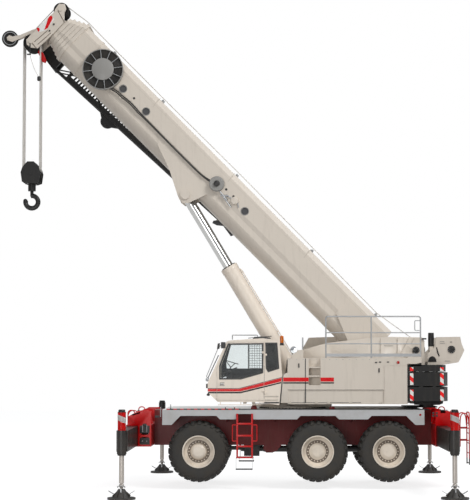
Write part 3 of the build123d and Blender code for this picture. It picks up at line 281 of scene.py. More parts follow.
def paint(name, colour, gloss=0.34, dust=0.25, streaks=0.25, drift=0.06):
    """Enamel in one colour, with its share of dust and of rain streaks."""
    material, tree, shader, place = new_material(name)
    grime = srgb(118, 106, 92)
    slow = noise(tree, place, 0.55, 4.0)
    base = mix(tree, slow, shade(colour, 1.0 - drift), shade(colour, 1.0 + drift))
    runs = patches(tree, object_place(tree, (5.0, 5.0, 0.55)), (2.2, 6.0, 0.62), 0.52, 0.78)
    base = mix(tree, maths(tree, "MULTIPLY", runs, streaks), base, grime)
    height = node(tree, "ShaderNodeSeparateXYZ", Vector=place).outputs["Z"]
    near_floor = span(tree, height, 0.2, 2.4, 1.0, 0.0)
    cloud = patches(tree, place, (3.1, 8.0, 0.68), 0.42, 0.72)
    settled = maths(tree, "MULTIPLY", maths(tree, "MULTIPLY", near_floor, cloud), dust)
    fill(tree, shader, Base_Color=mix(tree, settled, base, grime), Coat_Weight=0.08, Coat_Roughness=0.12,
         Roughness=maths(tree, "ADD", maths(tree, "MULTIPLY", cloud, 0.16), gloss), Specular_IOR_Level=0.32)
    bumps(tree, shader, noise(tree, place, 210.0, 2.0), 0.05, 0.002)
    return material


# One cream in three copies: the cab's is painted lighter, as painted light, and the boom's and body's darker,
# as painted shade.
cream = paint("cream paint", srgb(234, 222, 207), streaks=0.12)
boom_cream_painted_shade = paint("cream paint of the boom, painted darker as shade", srgb(214, 204, 191), streaks=0.14)
body_cream_painted_shade = paint("cream paint of the body, painted darker as shade", srgb(212, 202, 189), streaks=0.14)
cream_dark = paint("cream paint in shade", srgb(196, 187, 174), streaks=0.2)
red = paint("red paint", srgb(192, 0, 4), dust=0.16, streaks=0.08)
# The frame's own dark red, made darker still as painted shade for the frame under the deck.
dark_red_with_painted_shade = paint("dark red frame paint, partly painted shade", srgb(104, 4, 6), gloss=0.46, dust=0.2, streaks=0.14)
grey = paint("grey reel paint", srgb(148, 146, 142), gloss=0.42, streaks=0.1)
black = paint("black enamel", srgb(28, 27, 26), gloss=0.36, dust=0.3, streaks=0.12, drift=0.2)
stripe_red = paint("stripe red", srgb(214, 8, 18), gloss=0.26, dust=0.1, streaks=0.05)
stripe_black = paint("stripe black", srgb(14, 16, 16), gloss=0.26, dust=0.1, streaks=0.05)
film_white = paint("film white", srgb(232, 232, 228), gloss=0.3, dust=0.1, streaks=0.05)
rim_paint = paint("rim paint", srgb(228, 216, 200), gloss=0.36, dust=0.35, streaks=0.1)
# A dark paint for the painted shade in the rim's groove; the head's seam lines use it too.
rim_shade = paint("painted shade in the rim groove, also the head seam lines", srgb(120, 108, 96), gloss=0.5, dust=0.5, streaks=0.1)
sheet_red = srgb(246, 16, 14)
film_red = paint("film red", sheet_red, gloss=0.3, dust=0.05, streaks=0.03)
print("paints:", len(bpy.data.materials))

# %% [markdown]
# ## Metal, rubber and glass
#
# Bare metal gets its life from uneven roughness. Rubber is nearly black, dull and dusty.
# The cab's glass is a thin tinted sheet that lets the white studio through.

# %% Metals


def metal(name, colour, rough_low, rough_high, scale, stretch=(1.0, 1.0, 1.0), stain=0.0):
    """Bare metal with drawn grain and, by the stain, brown spots."""
    material, tree, shader, place = new_material(name)
    grain = noise(tree, object_place(tree, stretch), scale, 5.0, 0.6)
    spots = patches(tree, place, (2.7, 7.0, 0.7), 0.55, 0.75)
    base = mix(tree, grain, shade(colour, 0.82), colour)
    base = mix(tree, maths(tree, "MULTIPLY", spots, stain), base, srgb(96, 80, 64))
    fill(tree, shader, Base_Color=base, Roughness=span(tree, grain, 0.3, 0.7, rough_low, rough_high),
         Metallic=0.85)
    bumps(tree, shader, grain, 0.08, 0.001)
    return material


galvanised = metal("galvanised tube", srgb(176, 177, 178), 0.38, 0.6, 26.0, stain=0.2)
bright_steel = metal("bright steel", srgb(188, 188, 188), 0.2, 0.4, 60.0, (1.0, 1.0, 0.2), 0.1)
chrome = metal("hard chrome", srgb(196, 196, 194), 0.1, 0.2, 90.0, (0.3, 1.0, 0.3), 0.05)
rope_steel = metal("wire rope steel", srgb(178, 175, 168), 0.42, 0.6, 160.0, stain=0.35)
fall_steel = metal("greased rope in the light", srgb(216, 212, 206), 0.5, 0.7, 160.0, stain=0.1)
dark_steel = metal("oiled steel", srgb(92, 90, 87), 0.3, 0.55, 30.0, stain=0.35)

# %% Rubber and plastic


def dull(name, colour, roughness, bump_scale, bump_strength, dust=0.2):
    """Rubber or plastic with a fine grain and some dust."""
    material, tree, shader, place = new_material(name)
    cloud = patches(tree, place, (4.0, 8.0, 0.7), 0.4, 0.75)
    base = mix(tree, maths(tree, "MULTIPLY", cloud, dust), colour, srgb(128, 116, 100))
    rough = span(tree, cloud, 0.0, 1.0, roughness, roughness + 0.2)
    fill(tree, shader, Base_Color=base, Roughness=rough)
    bumps(tree, shader, noise(tree, place, bump_scale, 4.0), bump_strength, 0.003)
    return material


rubber = dull("tyre rubber", srgb(37, 35, 32), 0.66, 90.0, 0.25, 0.14)
tread_rubber = dull("tread rubber", srgb(34, 33, 32), 0.7, 60.0, 0.3, 0.16)
seal_rubber = dull("window seal", srgb(66, 66, 66), 0.6, 120.0, 0.1, 0.08)
black_plastic = dull("black plastic", srgb(32, 32, 33), 0.45, 150.0, 0.12, 0.1)
hose_rubber = dull("hydraulic hose", srgb(40, 39, 38), 0.5, 140.0, 0.15, 0.15)
trim_plastic = dull("cab trim", srgb(70, 70, 72), 0.6, 140.0, 0.2, 0.05)

# %% Glass, lenses and mirror


def clear(name, colour, transmission, roughness=0.03):
    """Tinted glass with a faint uneven film on it."""
    material, tree, shader, place = new_material(name)
    film = patches(tree, place, (3.0, 6.0, 0.6), 0.45, 0.8, roughness, roughness + 0.06)
    tint = mix(tree, noise(tree, place, 1.2, 2.0), colour, shade(colour, 0.92))
    fill(tree, shader, Base_Color=tint, Roughness=film, Transmission_Weight=transmission, IOR=1.45)
    return material


glass = clear("cab glass", srgb(243, 247, 247), 1.0)
red_lens = clear("red lens", srgb(190, 20, 16), 0.25, 0.12)
amber_lens = clear("amber beacon", srgb(240, 120, 12), 0.35, 0.1)
white_lens = clear("lamp lens", srgb(220, 222, 224), 0.3, 0.1)
mirror_face, tree, shader, place = new_material("mirror face")
fill(tree, shader, Base_Color=srgb(225, 228, 230), Metallic=1.0,
     Roughness=patches(tree, place, (12.0, 5.0), 0.3, 0.7, 0.04, 0.12))

# %% [markdown]
# ## Striped sheet
#
# Red and white film marks the counterweight, and the deck's edge wears red and black
# dashes. The stripes are cut in the material by a repeating saw along a slanted line, so
# that the edge stays sharp at any distance.

# %% Stripe maker


def stripes(name, first, second, direction, width):
    """Two colours that alternate along a direction, each the given width."""
    material, tree, shader, place = new_material(name)
    dot = node(tree, "ShaderNodeVectorMath", {"operation": "DOT_PRODUCT"})
    by_number(tree, dot, {0: place, 1: Vector(direction).normalized() / (2.0 * width)})
    edge = maths(tree, "GREATER_THAN", maths(tree, "FRACT", dot.outputs["Value"]), 0.5)
    cloud = patches(tree, place, (5.0, 7.0, 0.7), 0.45, 0.8, 0.0, 0.16)
    base = mix(tree, cloud, mix(tree, edge, first, second), srgb(110, 100, 88))
    cells = node(tree, "ShaderNodeTexVoronoi", Vector=place, Scale=260.0).outputs["Distance"]
    fill(tree, shader, Base_Color=base, Roughness=span(tree, cells, 0.0, 0.8, 0.22, 0.42))
    bumps(tree, shader, cells, 0.06, 0.001)
    return material


weight_stripes = stripes("counterweight stripes", sheet_red, srgb(232, 232, 226), (0.8, 0.6, 1.0), 0.085)
dash_stripes = stripes("deck edge dashes", srgb(196, 22, 28), srgb(24, 24, 24), (1.0, 0.0, 0.35), 0.085)

# %% [markdown]
# ## Finishes on the solid parts
#
# The steel parts of the crane keep their shape and only change coats. A few parts carry
# two finishes in one solid: a jack is a bright rod over a black float, and the deck has a
# chequered top and plain painted sides, the top painted much lighter, partly as painted light
# on the faces that look up. For those the material itself looks at height or at which way the
# surface faces.

# %% Two finishes by height


def two_by_height(name, low_colour, high_colour, height, high_metal):
    """One finish below a height and another above it."""
    material, tree, shader, place = new_material(name)
    up = node(tree, "ShaderNodeSeparateXYZ", Vector=place).outputs["Z"]
    upper = maths(tree, "GREATER_THAN", up, height)
    cloud = patches(tree, place, (6.0, 7.0, 0.7), 0.4, 0.75)
    grain = noise(tree, object_place(tree, (1.0, 1.0, 0.1)), 60.0, 4.0)
    low = mix(tree, maths(tree, "MULTIPLY", cloud, 0.3), low_colour, srgb(110, 100, 88))
    high = mix(tree, grain, shade(high_colour, 0.85), high_colour)
    rough = maths(tree, "SUBTRACT", 0.52, maths(tree, "MULTIPLY", upper, 0.22))
    fill(tree, shader, Base_Color=mix(tree, upper, low, high), Metallic=maths(tree, "MULTIPLY", upper,
                                                                              high_metal),
         Roughness=maths(tree, "ADD", rough, maths(tree, "MULTIPLY", cloud, 0.1)))
    return material


ladder_finish = two_by_height("ladder paint", srgb(70, 70, 70), srgb(204, 8, 16), 0.8, 0.0)
jack_finish = two_by_height("jack rod and float", srgb(44, 43, 42), srgb(186, 178, 170), 0.262, 0.45)

# %% Deck finish
deck_finish, tree, shader, place = new_material("deck paint with chequered top partly painted light")
facing = node(tree, "ShaderNodeNewGeometry").outputs["Normal"]
on_top = maths(tree, "GREATER_THAN", node(tree, "ShaderNodeSeparateXYZ", Vector=facing).outputs["Z"], 0.7)
cells = node(tree, "ShaderNodeTexVoronoi", Vector=object_place(tree, (1.0, 1.0, 0.0)), Scale=22.0)
lozenge = span(tree, cells.outputs["Distance"], 0.05, 0.3, 1.0, 0.0)
wear = patches(tree, place, (1.8, 8.0, 0.7), 0.45, 0.72, 0.0, 0.5)
side_colour = mix(tree, wear, srgb(184, 184, 184), srgb(158, 153, 146))
# The faces that look up get a far lighter colour than the sides: partly the top's own finish, partly painted
# light.
top_colour_painted_lighter = mix(tree, wear, srgb(232, 232, 230), srgb(200, 197, 190))
fill(tree, shader, Base_Color=mix(tree, on_top, side_colour, top_colour_painted_lighter), Roughness=0.46)
bumps(tree, shader, maths(tree, "MULTIPLY", lozenge, on_top), 0.5, 0.003)

# %% Coats for the solid parts
coats = [
    ("carrier_frame knuckle_", dark_red_with_painted_shade), ("deck", deck_finish), ("outrigger_boxes", red),
    ("ladders", ladder_finish), ("slew_ring", dark_steel), ("cab_windows cab_door_window", glass),
    ("cab_interior", trim_plastic), ("cab_shell cab_door lift_barrel", cream), ("boom_", boom_cream_painted_shade),
    ("upper_frame left_housing engine_housing winch_frame", body_cream_painted_shade), ("handrails", galvanised),
    ("lamps_and_mirrors", black_plastic), ("cable_reels", grey), ("lift_rod", chrome),
    ("hoist_ropes", fall_steel), ("jack_", jack_finish), ("rim_", rim_paint), ("tyre_", rubber),
    ("axles counterweight main_drum rear_drum fly_jib sheaves hook beam_", black),
]
for name, part in nodes.items():
    coat = next(coat for starts, coat in coats if name.startswith(tuple(starts.split())))
    part.data.materials.clear()
    part.data.materials.append(coat)
print("coated", len(nodes), "solid parts")

# %% [markdown]
# ## Helpers that build pieces
#
# Pieces are drawn into a small mesh, then placed once and for all where they belong.
# `plate` cuts a shape seen from the side, `bar` is a round rod between two points,
# `lathe` turns a profile, and `pipe` bends a tube along a smooth route.

# %% Shapes
HERE = (0.0, 0.0, 0.0)


def twice_area(outline):
    """Twice the area inside an outline, below nought when it runs clockwise."""
    after = outline[1:] + outline[:1]
    return sum(a[0] * b[1] - b[0] * a[1] for a, b in zip(outline, after))


def plate(bm, outline, y0, y1):
    """A prism whose outline is drawn in side view, from one y to another."""
    if twice_area(outline) < 0:
        outline = list(reversed(outline))
    near = [bm.verts.new((x, min(y0, y1), z)) for x, z in outline]
    far = [bm.verts.new((x, max(y0, y1), z)) for x, z in outline]
    bm.faces.new(near)
    bm.faces.new(list(reversed(far)))
    for k in range(len(outline)):
        j = (k + 1) % len(outline)
        bm.faces.new((near[j], near[k], far[k], far[j]))


def box(bm, low, high):
    """A block between two corners."""
    plate(bm, [(low[0], low[2]), (high[0], low[2]), (high[0], high[2]), (low[0], high[2])], low[1], high[1])


def bar(bm, start, end, radius, sides=16):
    """A round rod with closed ends between two points."""
    start, end = Vector(start), Vector(end)
    way = end - start
    place = Matrix.Translation((start + end) / 2.0) @ way.to_track_quat("Z", "Y").to_matrix().to_4x4()
    bmesh.ops.create_cone(bm, cap_ends=True, segments=sides, radius1=radius, radius2=radius,
                          depth=way.length, matrix=place)


def ball(bm, centre, radius, sides=16):
    """A round ball."""
    bmesh.ops.create_uvsphere(bm, u_segments=sides, v_segments=max(6, sides // 2), radius=radius,
                              matrix=Matrix.Translation(centre))


def lathe(bm, profile, centre, axis, segments=48):
    """Turns a closed profile of (radius, distance along the axis) about an axis."""
    place = Matrix.Translation(centre) @ Vector(axis).to_track_quat("Z", "Y").to_matrix().to_4x4()
    rings = []
    for k in range(segments):
        angle = 2.0 * math.pi * k / segments
        cos, sin = math.cos(angle), math.sin(angle)
        rings.append([bm.verts.new(place @ Vector((r * cos, r * sin, along))) for r, along in profile])
    for ring, after in zip(rings, rings[1:] + rings[:1]):
        for i in range(len(profile)):
            j = (i + 1) % len(profile)
            bm.faces.new((ring[i], after[i], after[j], ring[j]))
    bmesh.ops.remove_doubles(bm, verts=[v for ring in rings for v in ring], dist=1e-5)


# %% Pieces


def linked(name, data):
    """Puts a mesh or a curve in the scene."""
    made = bpy.data.objects.new(name, data)
    scene.collection.objects.link(made)
    return made


def meshed(name, bm):
    """Turns a drawn shape into an object."""
    mesh = bpy.data.meshes.new(name)
    bm.to_mesh(mesh)
    bm.free()
    return linked(name, mesh)


def drawn(name, bm):
    """A loose drawn shape, closed and facing outwards."""
    bmesh.ops.recalc_face_normals(bm, faces=bm.faces)
    return meshed(name, bm)


def bake(piece):
    """Turns what the modifiers make into the piece's own mesh."""
    view = bpy.context.evaluated_depsgraph_get()
    mesh = bpy.data.meshes.new_from_object(piece.evaluated_get(view))
    piece.modifiers.clear()
    piece.data = mesh


def dress(piece, material, smooth=40.0):
    """Gives a piece its finish and keeps edges sharp above an angle."""
    piece.data.materials.clear()
    piece.data.materials.append(material)
    piece.data.shade_smooth()
    piece.data.set_sharp_from_angle(angle=math.radians(smooth))


def ride(piece, body):
    """Lets a piece move with a body; without one, as when it is still to be joined, it stays put."""
    if body is not None:
        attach(piece, body)
    return piece


def finish(name, bm, material, body, bevel=0.0, smooth=40.0):
    """Turns a drawn mesh into a piece, with its edges a little rounded."""
    piece = drawn(name, bm)
    if bevel > 0.0:
        rounding = piece.modifiers.new("rounding", "BEVEL")
        rounding.width = bevel
        rounding.segments = 2
        rounding.limit_method = "ANGLE"
        rounding.angle_limit = math.radians(40.0)
    bake(piece)
    dress(piece, material, smooth)
    return ride(piece, body)


def join(name, pieces, body):
    """Makes one piece of several that share a finish."""
    bm = bmesh.new()
    material = pieces[0].data.materials[0]
    for piece in pieces:
        bm.from_mesh(piece.data)
        bpy.data.objects.remove(piece)
    whole = meshed(name, bm)
    dress(whole, material, 45.0)
    return ride(whole, body)


# %% Tubes


def eased(route, radius):
    """A route with two extra points beside each bend, so that the bend stays short."""
    out = [route[0]]
    for before, here, after in zip(route, route[1:], route[2:]):
        for other in (before, after):
            reach = min(radius * 3.0, (other - here).length * 0.45)
            out.append(here + (other - here).normalized() * reach)
            if other is before:
                out.append(here)
    return out + [route[-1]]


def pipe(name, points, radius, material, body, straight=False):
    """A tube that follows points: a smooth bend, or straight runs with short corners."""
    curve = bpy.data.curves.new(name, "CURVE")
    curve.dimensions = "3D"
    curve.bevel_depth = radius
    curve.bevel_resolution = 3
    curve.resolution_u = 10
    curve.use_fill_caps = True
    route = [Vector(point) for point in points]
    if straight:
        route = eased(route, radius)
    line = curve.splines.new("NURBS" if len(route) > 2 else "POLY")
    line.points.add(len(route) - 1)
    for spot, point in zip(line.points, route):
        spot.co = (*point, 1.0)
    if len(route) > 2:
        line.order_u = 3
        line.use_endpoint_u = True
    shape = linked(name + "_route", curve)
    view = bpy.context.evaluated_depsgraph_get()
    mesh = bpy.data.meshes.new_from_object(shape.evaluated_get(view))
    bpy.data.objects.remove(shape)
    piece = linked(name, mesh)
    dress(piece, material, 50.0)
    return ride(piece, body)


# %% [markdown]
# ## Two machines for repeats
#
# Nuts on a wheel, bars on a tyre and bolts on a ring all repeat round an axis; wires,
# screws and slats repeat along a line. Two small node trees do both jobs. Each
# takes one drawn shape and copies it, and the copies are made real at the end.

# %% Repeat trees


def repeat_tree(name, round_axis):
    """Copies a shape in equal turns round an axis, or in equal steps along a line."""
    tree = bpy.data.node_groups.new(name, "GeometryNodeTree")
    tree.interface.new_socket(name="Geometry", in_out="OUTPUT", socket_type="NodeSocketGeometry")
    for label, kind in (("Geometry", "Geometry"), ("Count", "Int"), ("Step", "Vector"), ("Start", "Vector"),
                        ("Finish", "Material")):
        tree.interface.new_socket(name=label, in_out="INPUT", socket_type="NodeSocket" + kind)
    given = node(tree, "NodeGroupInput").outputs
    spots = node(tree, "GeometryNodeMeshLine", {"mode": "OFFSET"}, Count=given["Count"], Offset=HERE)
    number = node(tree, "GeometryNodeInputIndex").outputs[0]
    scaled = node(tree, "ShaderNodeVectorMath", {"operation": "SCALE"}, Vector=given["Step"], Scale=number)
    offset = node(tree, "ShaderNodeVectorMath", {"operation": "ADD"})
    by_number(tree, offset, {0: scaled.outputs[0], 1: given["Start"]})
    if round_axis:
        copies = node(tree, "GeometryNodeInstanceOnPoints", Points=spots.outputs["Mesh"],
                      Instance=given["Geometry"], Rotation=offset.outputs[0])
    else:
        moved = node(tree, "GeometryNodeSetPosition", Geometry=spots.outputs["Mesh"],
                     Position=offset.outputs[0])
        copies = node(tree, "GeometryNodeInstanceOnPoints", Points=moved.outputs["Geometry"],
                      Instance=given["Geometry"])
    real = node(tree, "GeometryNodeRealizeInstances", Geometry=copies.outputs["Instances"])
    coat = node(tree, "GeometryNodeSetMaterial", Geometry=real.outputs["Geometry"], Material=given["Finish"])
    node(tree, "NodeGroupOutput", Geometry=coat.outputs["Geometry"])
    return tree


round_tree = repeat_tree("copies round an axis", True)
line_tree = repeat_tree("copies along a line", False)


def repeat(piece, tree, count, step, start, material, place=None):
    """Runs a repeat tree on a drawn piece, bakes it and moves the mesh to its place."""
    modifier = piece.modifiers.new("repeat", "NODES")
    modifier.node_group = tree
    values = {"Count": count, "Step": step, "Start": start, "Finish": material}
    for item in tree.interface.items_tree:
        if item.name in values:
            modifier[item.identifier] = values[item.name]
    piece.update_tag()
    bpy.context.view_layer.update()
    bake(piece)
    if place is not None:
        piece.data.transform(place)
    dress(piece, material)
    return piece


def bolt(name, radius, tip_radius, depth, sides, spot, across=True):
    """A short pin that points across the crane, or straight up, ready to be repeated."""
    bm = bmesh.new()
    turn = Matrix.Rotation(math.pi / 2.0 if across else 0.0, 4, "X")
    bmesh.ops.create_cone(bm, cap_ends=True, segments=sides, radius1=radius, radius2=tip_radius,
                          depth=depth, matrix=Matrix.Translation(spot) @ turn)
    return drawn(name, bm)


# %% [markdown]
# ## Tyres
#
# Each tyre is a smooth carcass with deep bars that start near the middle of the tread and
# run over the shoulder. The two rows are staggered. One bar is drawn as a bent block that
# hugs the carcass, and the round tree copies it twice round the wheel.

# %% Wheels
slew_x = 1.690
axle_z = 0.986
tyre_radius = 0.806
tyre_half = 0.2985
tyre_middle_y = 1.2985
axles = {"front": -2.488, "middle": 0.638, "rear": 2.504}
carcass = [
    (0.4055, -0.278), (0.421, -0.278), (0.436, -0.294), (0.470, -0.299), (0.500, -0.296), (0.512, -0.300),
    (0.560, -0.3005), (0.610, -0.2985), (0.650, -0.292), (0.690, -0.279), (0.722, -0.262), (0.744, -0.240),
    (0.756, -0.215), (0.764, -0.180), (0.768, -0.120), (0.770, -0.060), (0.771, 0.0),
]
carcass = carcass + [(radius, -across) for radius, across in reversed(carcass[:-1])]


def tyre_bar():
    """One tread bar, drawn at the top of a wheel that stands at the origin."""
    bm = bmesh.new()
    path = [(0.012, tyre_radius, 0.000), (0.09, tyre_radius, 0.010), (0.17, 0.803, 0.030),
            (0.235, 0.792, 0.052),
            (0.272, 0.764, 0.064), (0.292, 0.722, 0.070)]
    foot = [(0.012, 0.764), (0.09, 0.762), (0.17, 0.757), (0.225, 0.742), (0.252, 0.722), (0.270, 0.700)]
    rings = []
    for (across, radius, turn), (foot_across, foot_radius) in zip(path, foot):
        half = 0.047
        top = [(turn - half * 0.8, across, radius), (turn + half * 0.8, across, radius)]
        low = [(turn + half, foot_across, foot_radius), (turn - half, foot_across, foot_radius)]
        ring = []
        for along, y, r in top + low:
            angle = along / 0.79
            ring.append(bm.verts.new((r * math.sin(angle), y, r * math.cos(angle))))
        rings.append(ring)
    for a, b in zip(rings, rings[1:]):
        for k in range(4):
            j = (k + 1) % 4
            bm.faces.new((a[k], a[j], b[j], b[k]))
    bm.faces.new(rings[0])
    bm.faces.new(list(reversed(rings[-1])))
    return drawn("tyre_bar", bm)


def wheel(axle, side_name, side):
    """The tread bars and the carcass of one wheel."""
    tag = axle + "_" + side_name
    centre = Vector((axles[axle] + slew_x, side * tyre_middle_y, axle_z))
    count = 27
    pitch = 2.0 * math.pi / count
    rows = []
    for row in (0, 1):
        block = tyre_bar()
        flip = Matrix.Rotation(math.pi * row, 4, "Z")
        block.data.transform(flip)
        start = (0.0, pitch * 0.5 * row, 0.0)
        place = Matrix.Translation(centre)
        rows.append(repeat(block, round_tree, count, (0.0, pitch, 0.0), start, tread_rubber, place))
    bars = join("tread_" + tag, rows, "wheel_" + tag)
    dress(bars, tread_rubber, 30.0)
    bm = bmesh.new()
    lathe(bm, carcass, centre, (0.0, 1.0, 0.0), 96)
    body = finish("carcass_" + tag, bm, rubber, "wheel_" + tag, 0.0, 60.0)
    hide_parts("tyre_" + tag)
    return bars


for axle in axles:
    for side_name, side in (("left", -1.0), ("right", 1.0)):
        made = wheel(axle, side_name, side)
print("tread bars on one wheel:", len(made.data.polygons), "faces")

# %% Wheel nuts and rings


def wheel_nuts(axle, side_name, side):
    """Nuts round the hub, the edge ring of the rim and a dark ring of painted shade in its groove."""
    tag = axle + "_" + side_name
    centre = Vector((axles[axle] + slew_x, side * tyre_middle_y, axle_z))
    outward = side * (tyre_half - 0.200)
    nut = bolt("wheel_nuts_" + tag, 0.019, 0.017, 0.034, 6, (0.0, 0.0, 0.256))
    place = Matrix.Translation(centre + Vector((0.0, outward + side * 0.012, 0.0)))
    step = (0.0, 2.0 * math.pi / 20.0, 0.0)
    repeat(nut, round_tree, 20, step, HERE, rim_paint, place)
    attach(nut, "wheel_" + tag)
    bm = bmesh.new()
    edge = [(0.386, 0.270), (0.398, 0.2965), (0.414, 0.3015), (0.426, 0.298), (0.424, 0.286), (0.404, 0.2795),
            (0.392, 0.262)]
    lathe(bm, [(r, side * w) for r, w in edge], centre, (0.0, 1.0, 0.0), 72)
    finish("rim_edge_" + tag, bm, rim_paint, "wheel_" + tag, 0.0, 40.0)
    # A dark ring of painted shade in the groove between the hub and the flange.
    bm = bmesh.new()
    face = tyre_half - 0.200
    groove = [(0.216, face + 0.002), (0.216, face + 0.006), (0.296, face + 0.006), (0.300, face + 0.002)]
    lathe(bm, [(r, side * w) for r, w in groove], centre, (0.0, 1.0, 0.0), 64)
    finish("rim_groove_shade_" + tag, bm, rim_shade, "wheel_" + tag)


for axle in axles:
    for side_name, side in (("left", -1.0), ("right", 1.0)):
        wheel_nuts(axle, side_name, side)
print("wheels dressed")

# %% [markdown]
# ## Places on the boom
#
# The boom stands at 45 degrees, so its parts are easier to think of as so far along it
# and so far above its foot pin. `on_boom` turns that pair into a place in the scene, and
# `boom_outline` does it for a whole outline.

# %% Boom helpers
pivot = Vector((1.881 + slew_x, 0.0, 3.250))
boom_angle = math.radians(45.2)


def on_boom(u, v, y=0.0):
    """The place that lies so far along the boom and so far above its foot pin."""
    cos, sin = math.cos(boom_angle), math.sin(boom_angle)
    return Vector((pivot.x - u * cos + v * sin, y, pivot.z + u * sin + v * cos))


def boom_outline(points):
    """A side-view outline given along and above the boom, as x and z."""
    out = []
    for u, v in points:
        spot = on_boom(u, v)
        out.append((spot.x, spot.z))
    return out


def clip(outline, edge, keep_low):
    """Cuts a side-view outline at a vertical line and keeps one side."""
    out = []
    for k, (ax, az) in enumerate(outline):
        bx, bz = outline[(k + 1) % len(outline)]
        a_in = ax <= edge if keep_low else ax >= edge
        b_in = bx <= edge if keep_low else bx >= edge
        if a_in:
            out.append((ax, az))
        if a_in != b_in:
            t = (edge - ax) / (bx - ax)
            out.append((edge, az + (bz - az) * t))
    return out


def shrink(points, gap):
    """Moves every side of a closed outline inwards; a negative gap moves it outwards."""
    count = len(points)
    sign = 1.0 if twice_area(points) > 0 else -1.0
    out = []
    for k in range(count):
        ax, az = points[k - 1]
        bx, bz = points[k]
        cx, cz = points[(k + 1) % count]
        first = Vector((-(bz - az), bx - ax)).normalized() * sign
        second = Vector((-(cz - bz), cx - bx)).normalized() * sign
        share = 1.0 + first.dot(second)
        out.append((bx + gap * (first.x + second.x) / share, bz + gap * (first.y + second.y) / share))
    return out


def frame_plate(bm, outer, inner, y0, y1):
    """A flat frame between two outlines with the same number of corners."""
    count = len(outer)
    rings = []
    for outline, y in ((outer, y0), (inner, y0), (inner, y1), (outer, y1)):
        rings.append([bm.verts.new((x, y, z)) for x, z in outline])
    for a, b in zip(rings, rings[1:] + rings[:1]):
        for k in range(count):
            j = (k + 1) % count
            bm.faces.new((a[k], a[j], b[j], b[k]))


# %% [markdown]
# ## Livery of the cab and body
#
# A red band with a black pinstripe climbs along the cab and runs level on the body behind
# it. On the real machine it is cut film. Here each strip is a plate a millimetre thick,
# cut at the door's edges, so the door can open and take its own piece of stripe with it.

# %% Stripes on the left side
red_band = [(-0.562, 2.631), (0.262, 2.631), (1.386, 2.921), (1.377, 2.827), (0.302, 2.565), (-0.562, 2.565)]
black_band = [(-0.562, 2.554), (0.302, 2.554), (1.374, 2.814), (1.371, 2.779), (0.302, 2.514),
              (-0.530, 2.514)]
grey_line = [(-0.562, 2.650), (0.262, 2.650), (1.390, 2.942), (1.387, 2.926), (0.262, 2.635), (-0.562, 2.635)]
door_front, door_rear = -0.317, 0.916
skin = -1.5
bands = (("red", red_band, stripe_red), ("black", black_band, stripe_black), ("grey", grey_line, seal_rubber))
for name, band, coat in bands:
    bm = bmesh.new()
    plate(bm, clip(band, door_front - 0.009, True), skin - 0.0015, skin + 0.001)
    plate(bm, clip(band, door_rear + 0.009, False), skin - 0.0015, skin + 0.001)
    finish("cab_stripe_" + name, bm, coat, "upper")
    bm = bmesh.new()
    plate(bm, clip(clip(band, door_front, False), door_rear, True), skin - 0.0015, skin + 0.001)
    finish("door_stripe_" + name, bm, coat, "cab_door")
bm = bmesh.new()
for x0, x1 in ((1.424, 2.096), (2.408, 2.760)):
    box(bm, (x0, skin - 0.0025, 2.824), (x1, skin + 0.001, 2.930))
finish("body_stripe_red", bm, stripe_red, "upper")
bm = bmesh.new()
for x0, x1 in ((1.420, 2.096), (2.408, 2.760)):
    box(bm, (x0, skin - 0.0025, 2.771), (x1, skin + 0.001, 2.805))
finish("body_stripe_black", bm, stripe_black, "upper")

# %% [markdown]
# ## Windows
#
# Each pane sits in a black rubber seal. The far side of the cab is lined in dark trim up
# to the sill, with a bar and a wire guard in the far window, and all of that shows
# through the near glass. The guard is two runs of wire from the line tree.

# %% Window seals, lining and guard
door_pane = [(-0.015, 3.802), (-0.237, 3.240), (-0.237, 2.904), (0.307, 2.904), (0.875, 3.065),
             (0.883, 3.810)]
rear_pane = [(0.976, 3.826), (0.990, 3.170), (1.036, 3.096), (1.298, 3.178), (1.248, 3.826)]
bm = bmesh.new()
frame_plate(bm, shrink(door_pane, -0.026), shrink(door_pane, 0.016), skin - 0.006, skin + 0.004)
finish("door_seal", bm, seal_rubber, "cab_door", 0.002)
bm = bmesh.new()
frame_plate(bm, shrink(rear_pane, -0.024), shrink(rear_pane, 0.014), skin - 0.006, skin + 0.004)
finish("rear_seal", bm, seal_rubber, "upper", 0.002)
bm = bmesh.new()
lining_y = -0.662
front_post = [(-0.237, 2.904), (-0.237, 3.240), (-0.015, 3.802), (0.030, 3.802), (-0.100, 3.330),
              (-0.088, 3.170), (0.10, 3.02)]
plate(bm, front_post, lining_y - 0.006, lining_y)
plate(bm, [(-0.10, 2.904), (-0.10, 3.165), (0.875, 3.165), (0.875, 3.065), (0.307, 2.904)], lining_y - 0.008,
      lining_y)
plate(bm, rear_pane, lining_y - 0.006, lining_y)
plate(bm, [(-0.20, 2.36), (-0.20, 2.90), (1.25, 2.90), (1.25, 2.36)], lining_y - 0.004, lining_y)
finish("cab_lining", bm, trim_plastic, "upper")
bm = bmesh.new()
box(bm, (0.482, lining_y - 0.012, 3.10), (0.512, lining_y + 0.002, 3.81))
finish("far_window_bar", bm, seal_rubber, "upper")
bm = bmesh.new()
bar(bm, (0.53, lining_y - 0.02, 3.14), (0.53, lining_y - 0.02, 3.805), 0.0055, 6)
upright = drawn("guard_wires", bm)
repeat(upright, line_tree, 6, (0.066, 0.0, 0.0), HERE, black_plastic)
bm = bmesh.new()
bar(bm, (0.52, lining_y - 0.023, 3.175), (0.875, lining_y - 0.023, 3.175), 0.0055, 6)
level = drawn("guard_rungs", bm)
repeat(level, line_tree, 10, (0.0, 0.0, 0.066), HERE, black_plastic)
join("window_guard", [upright, level], "upper")

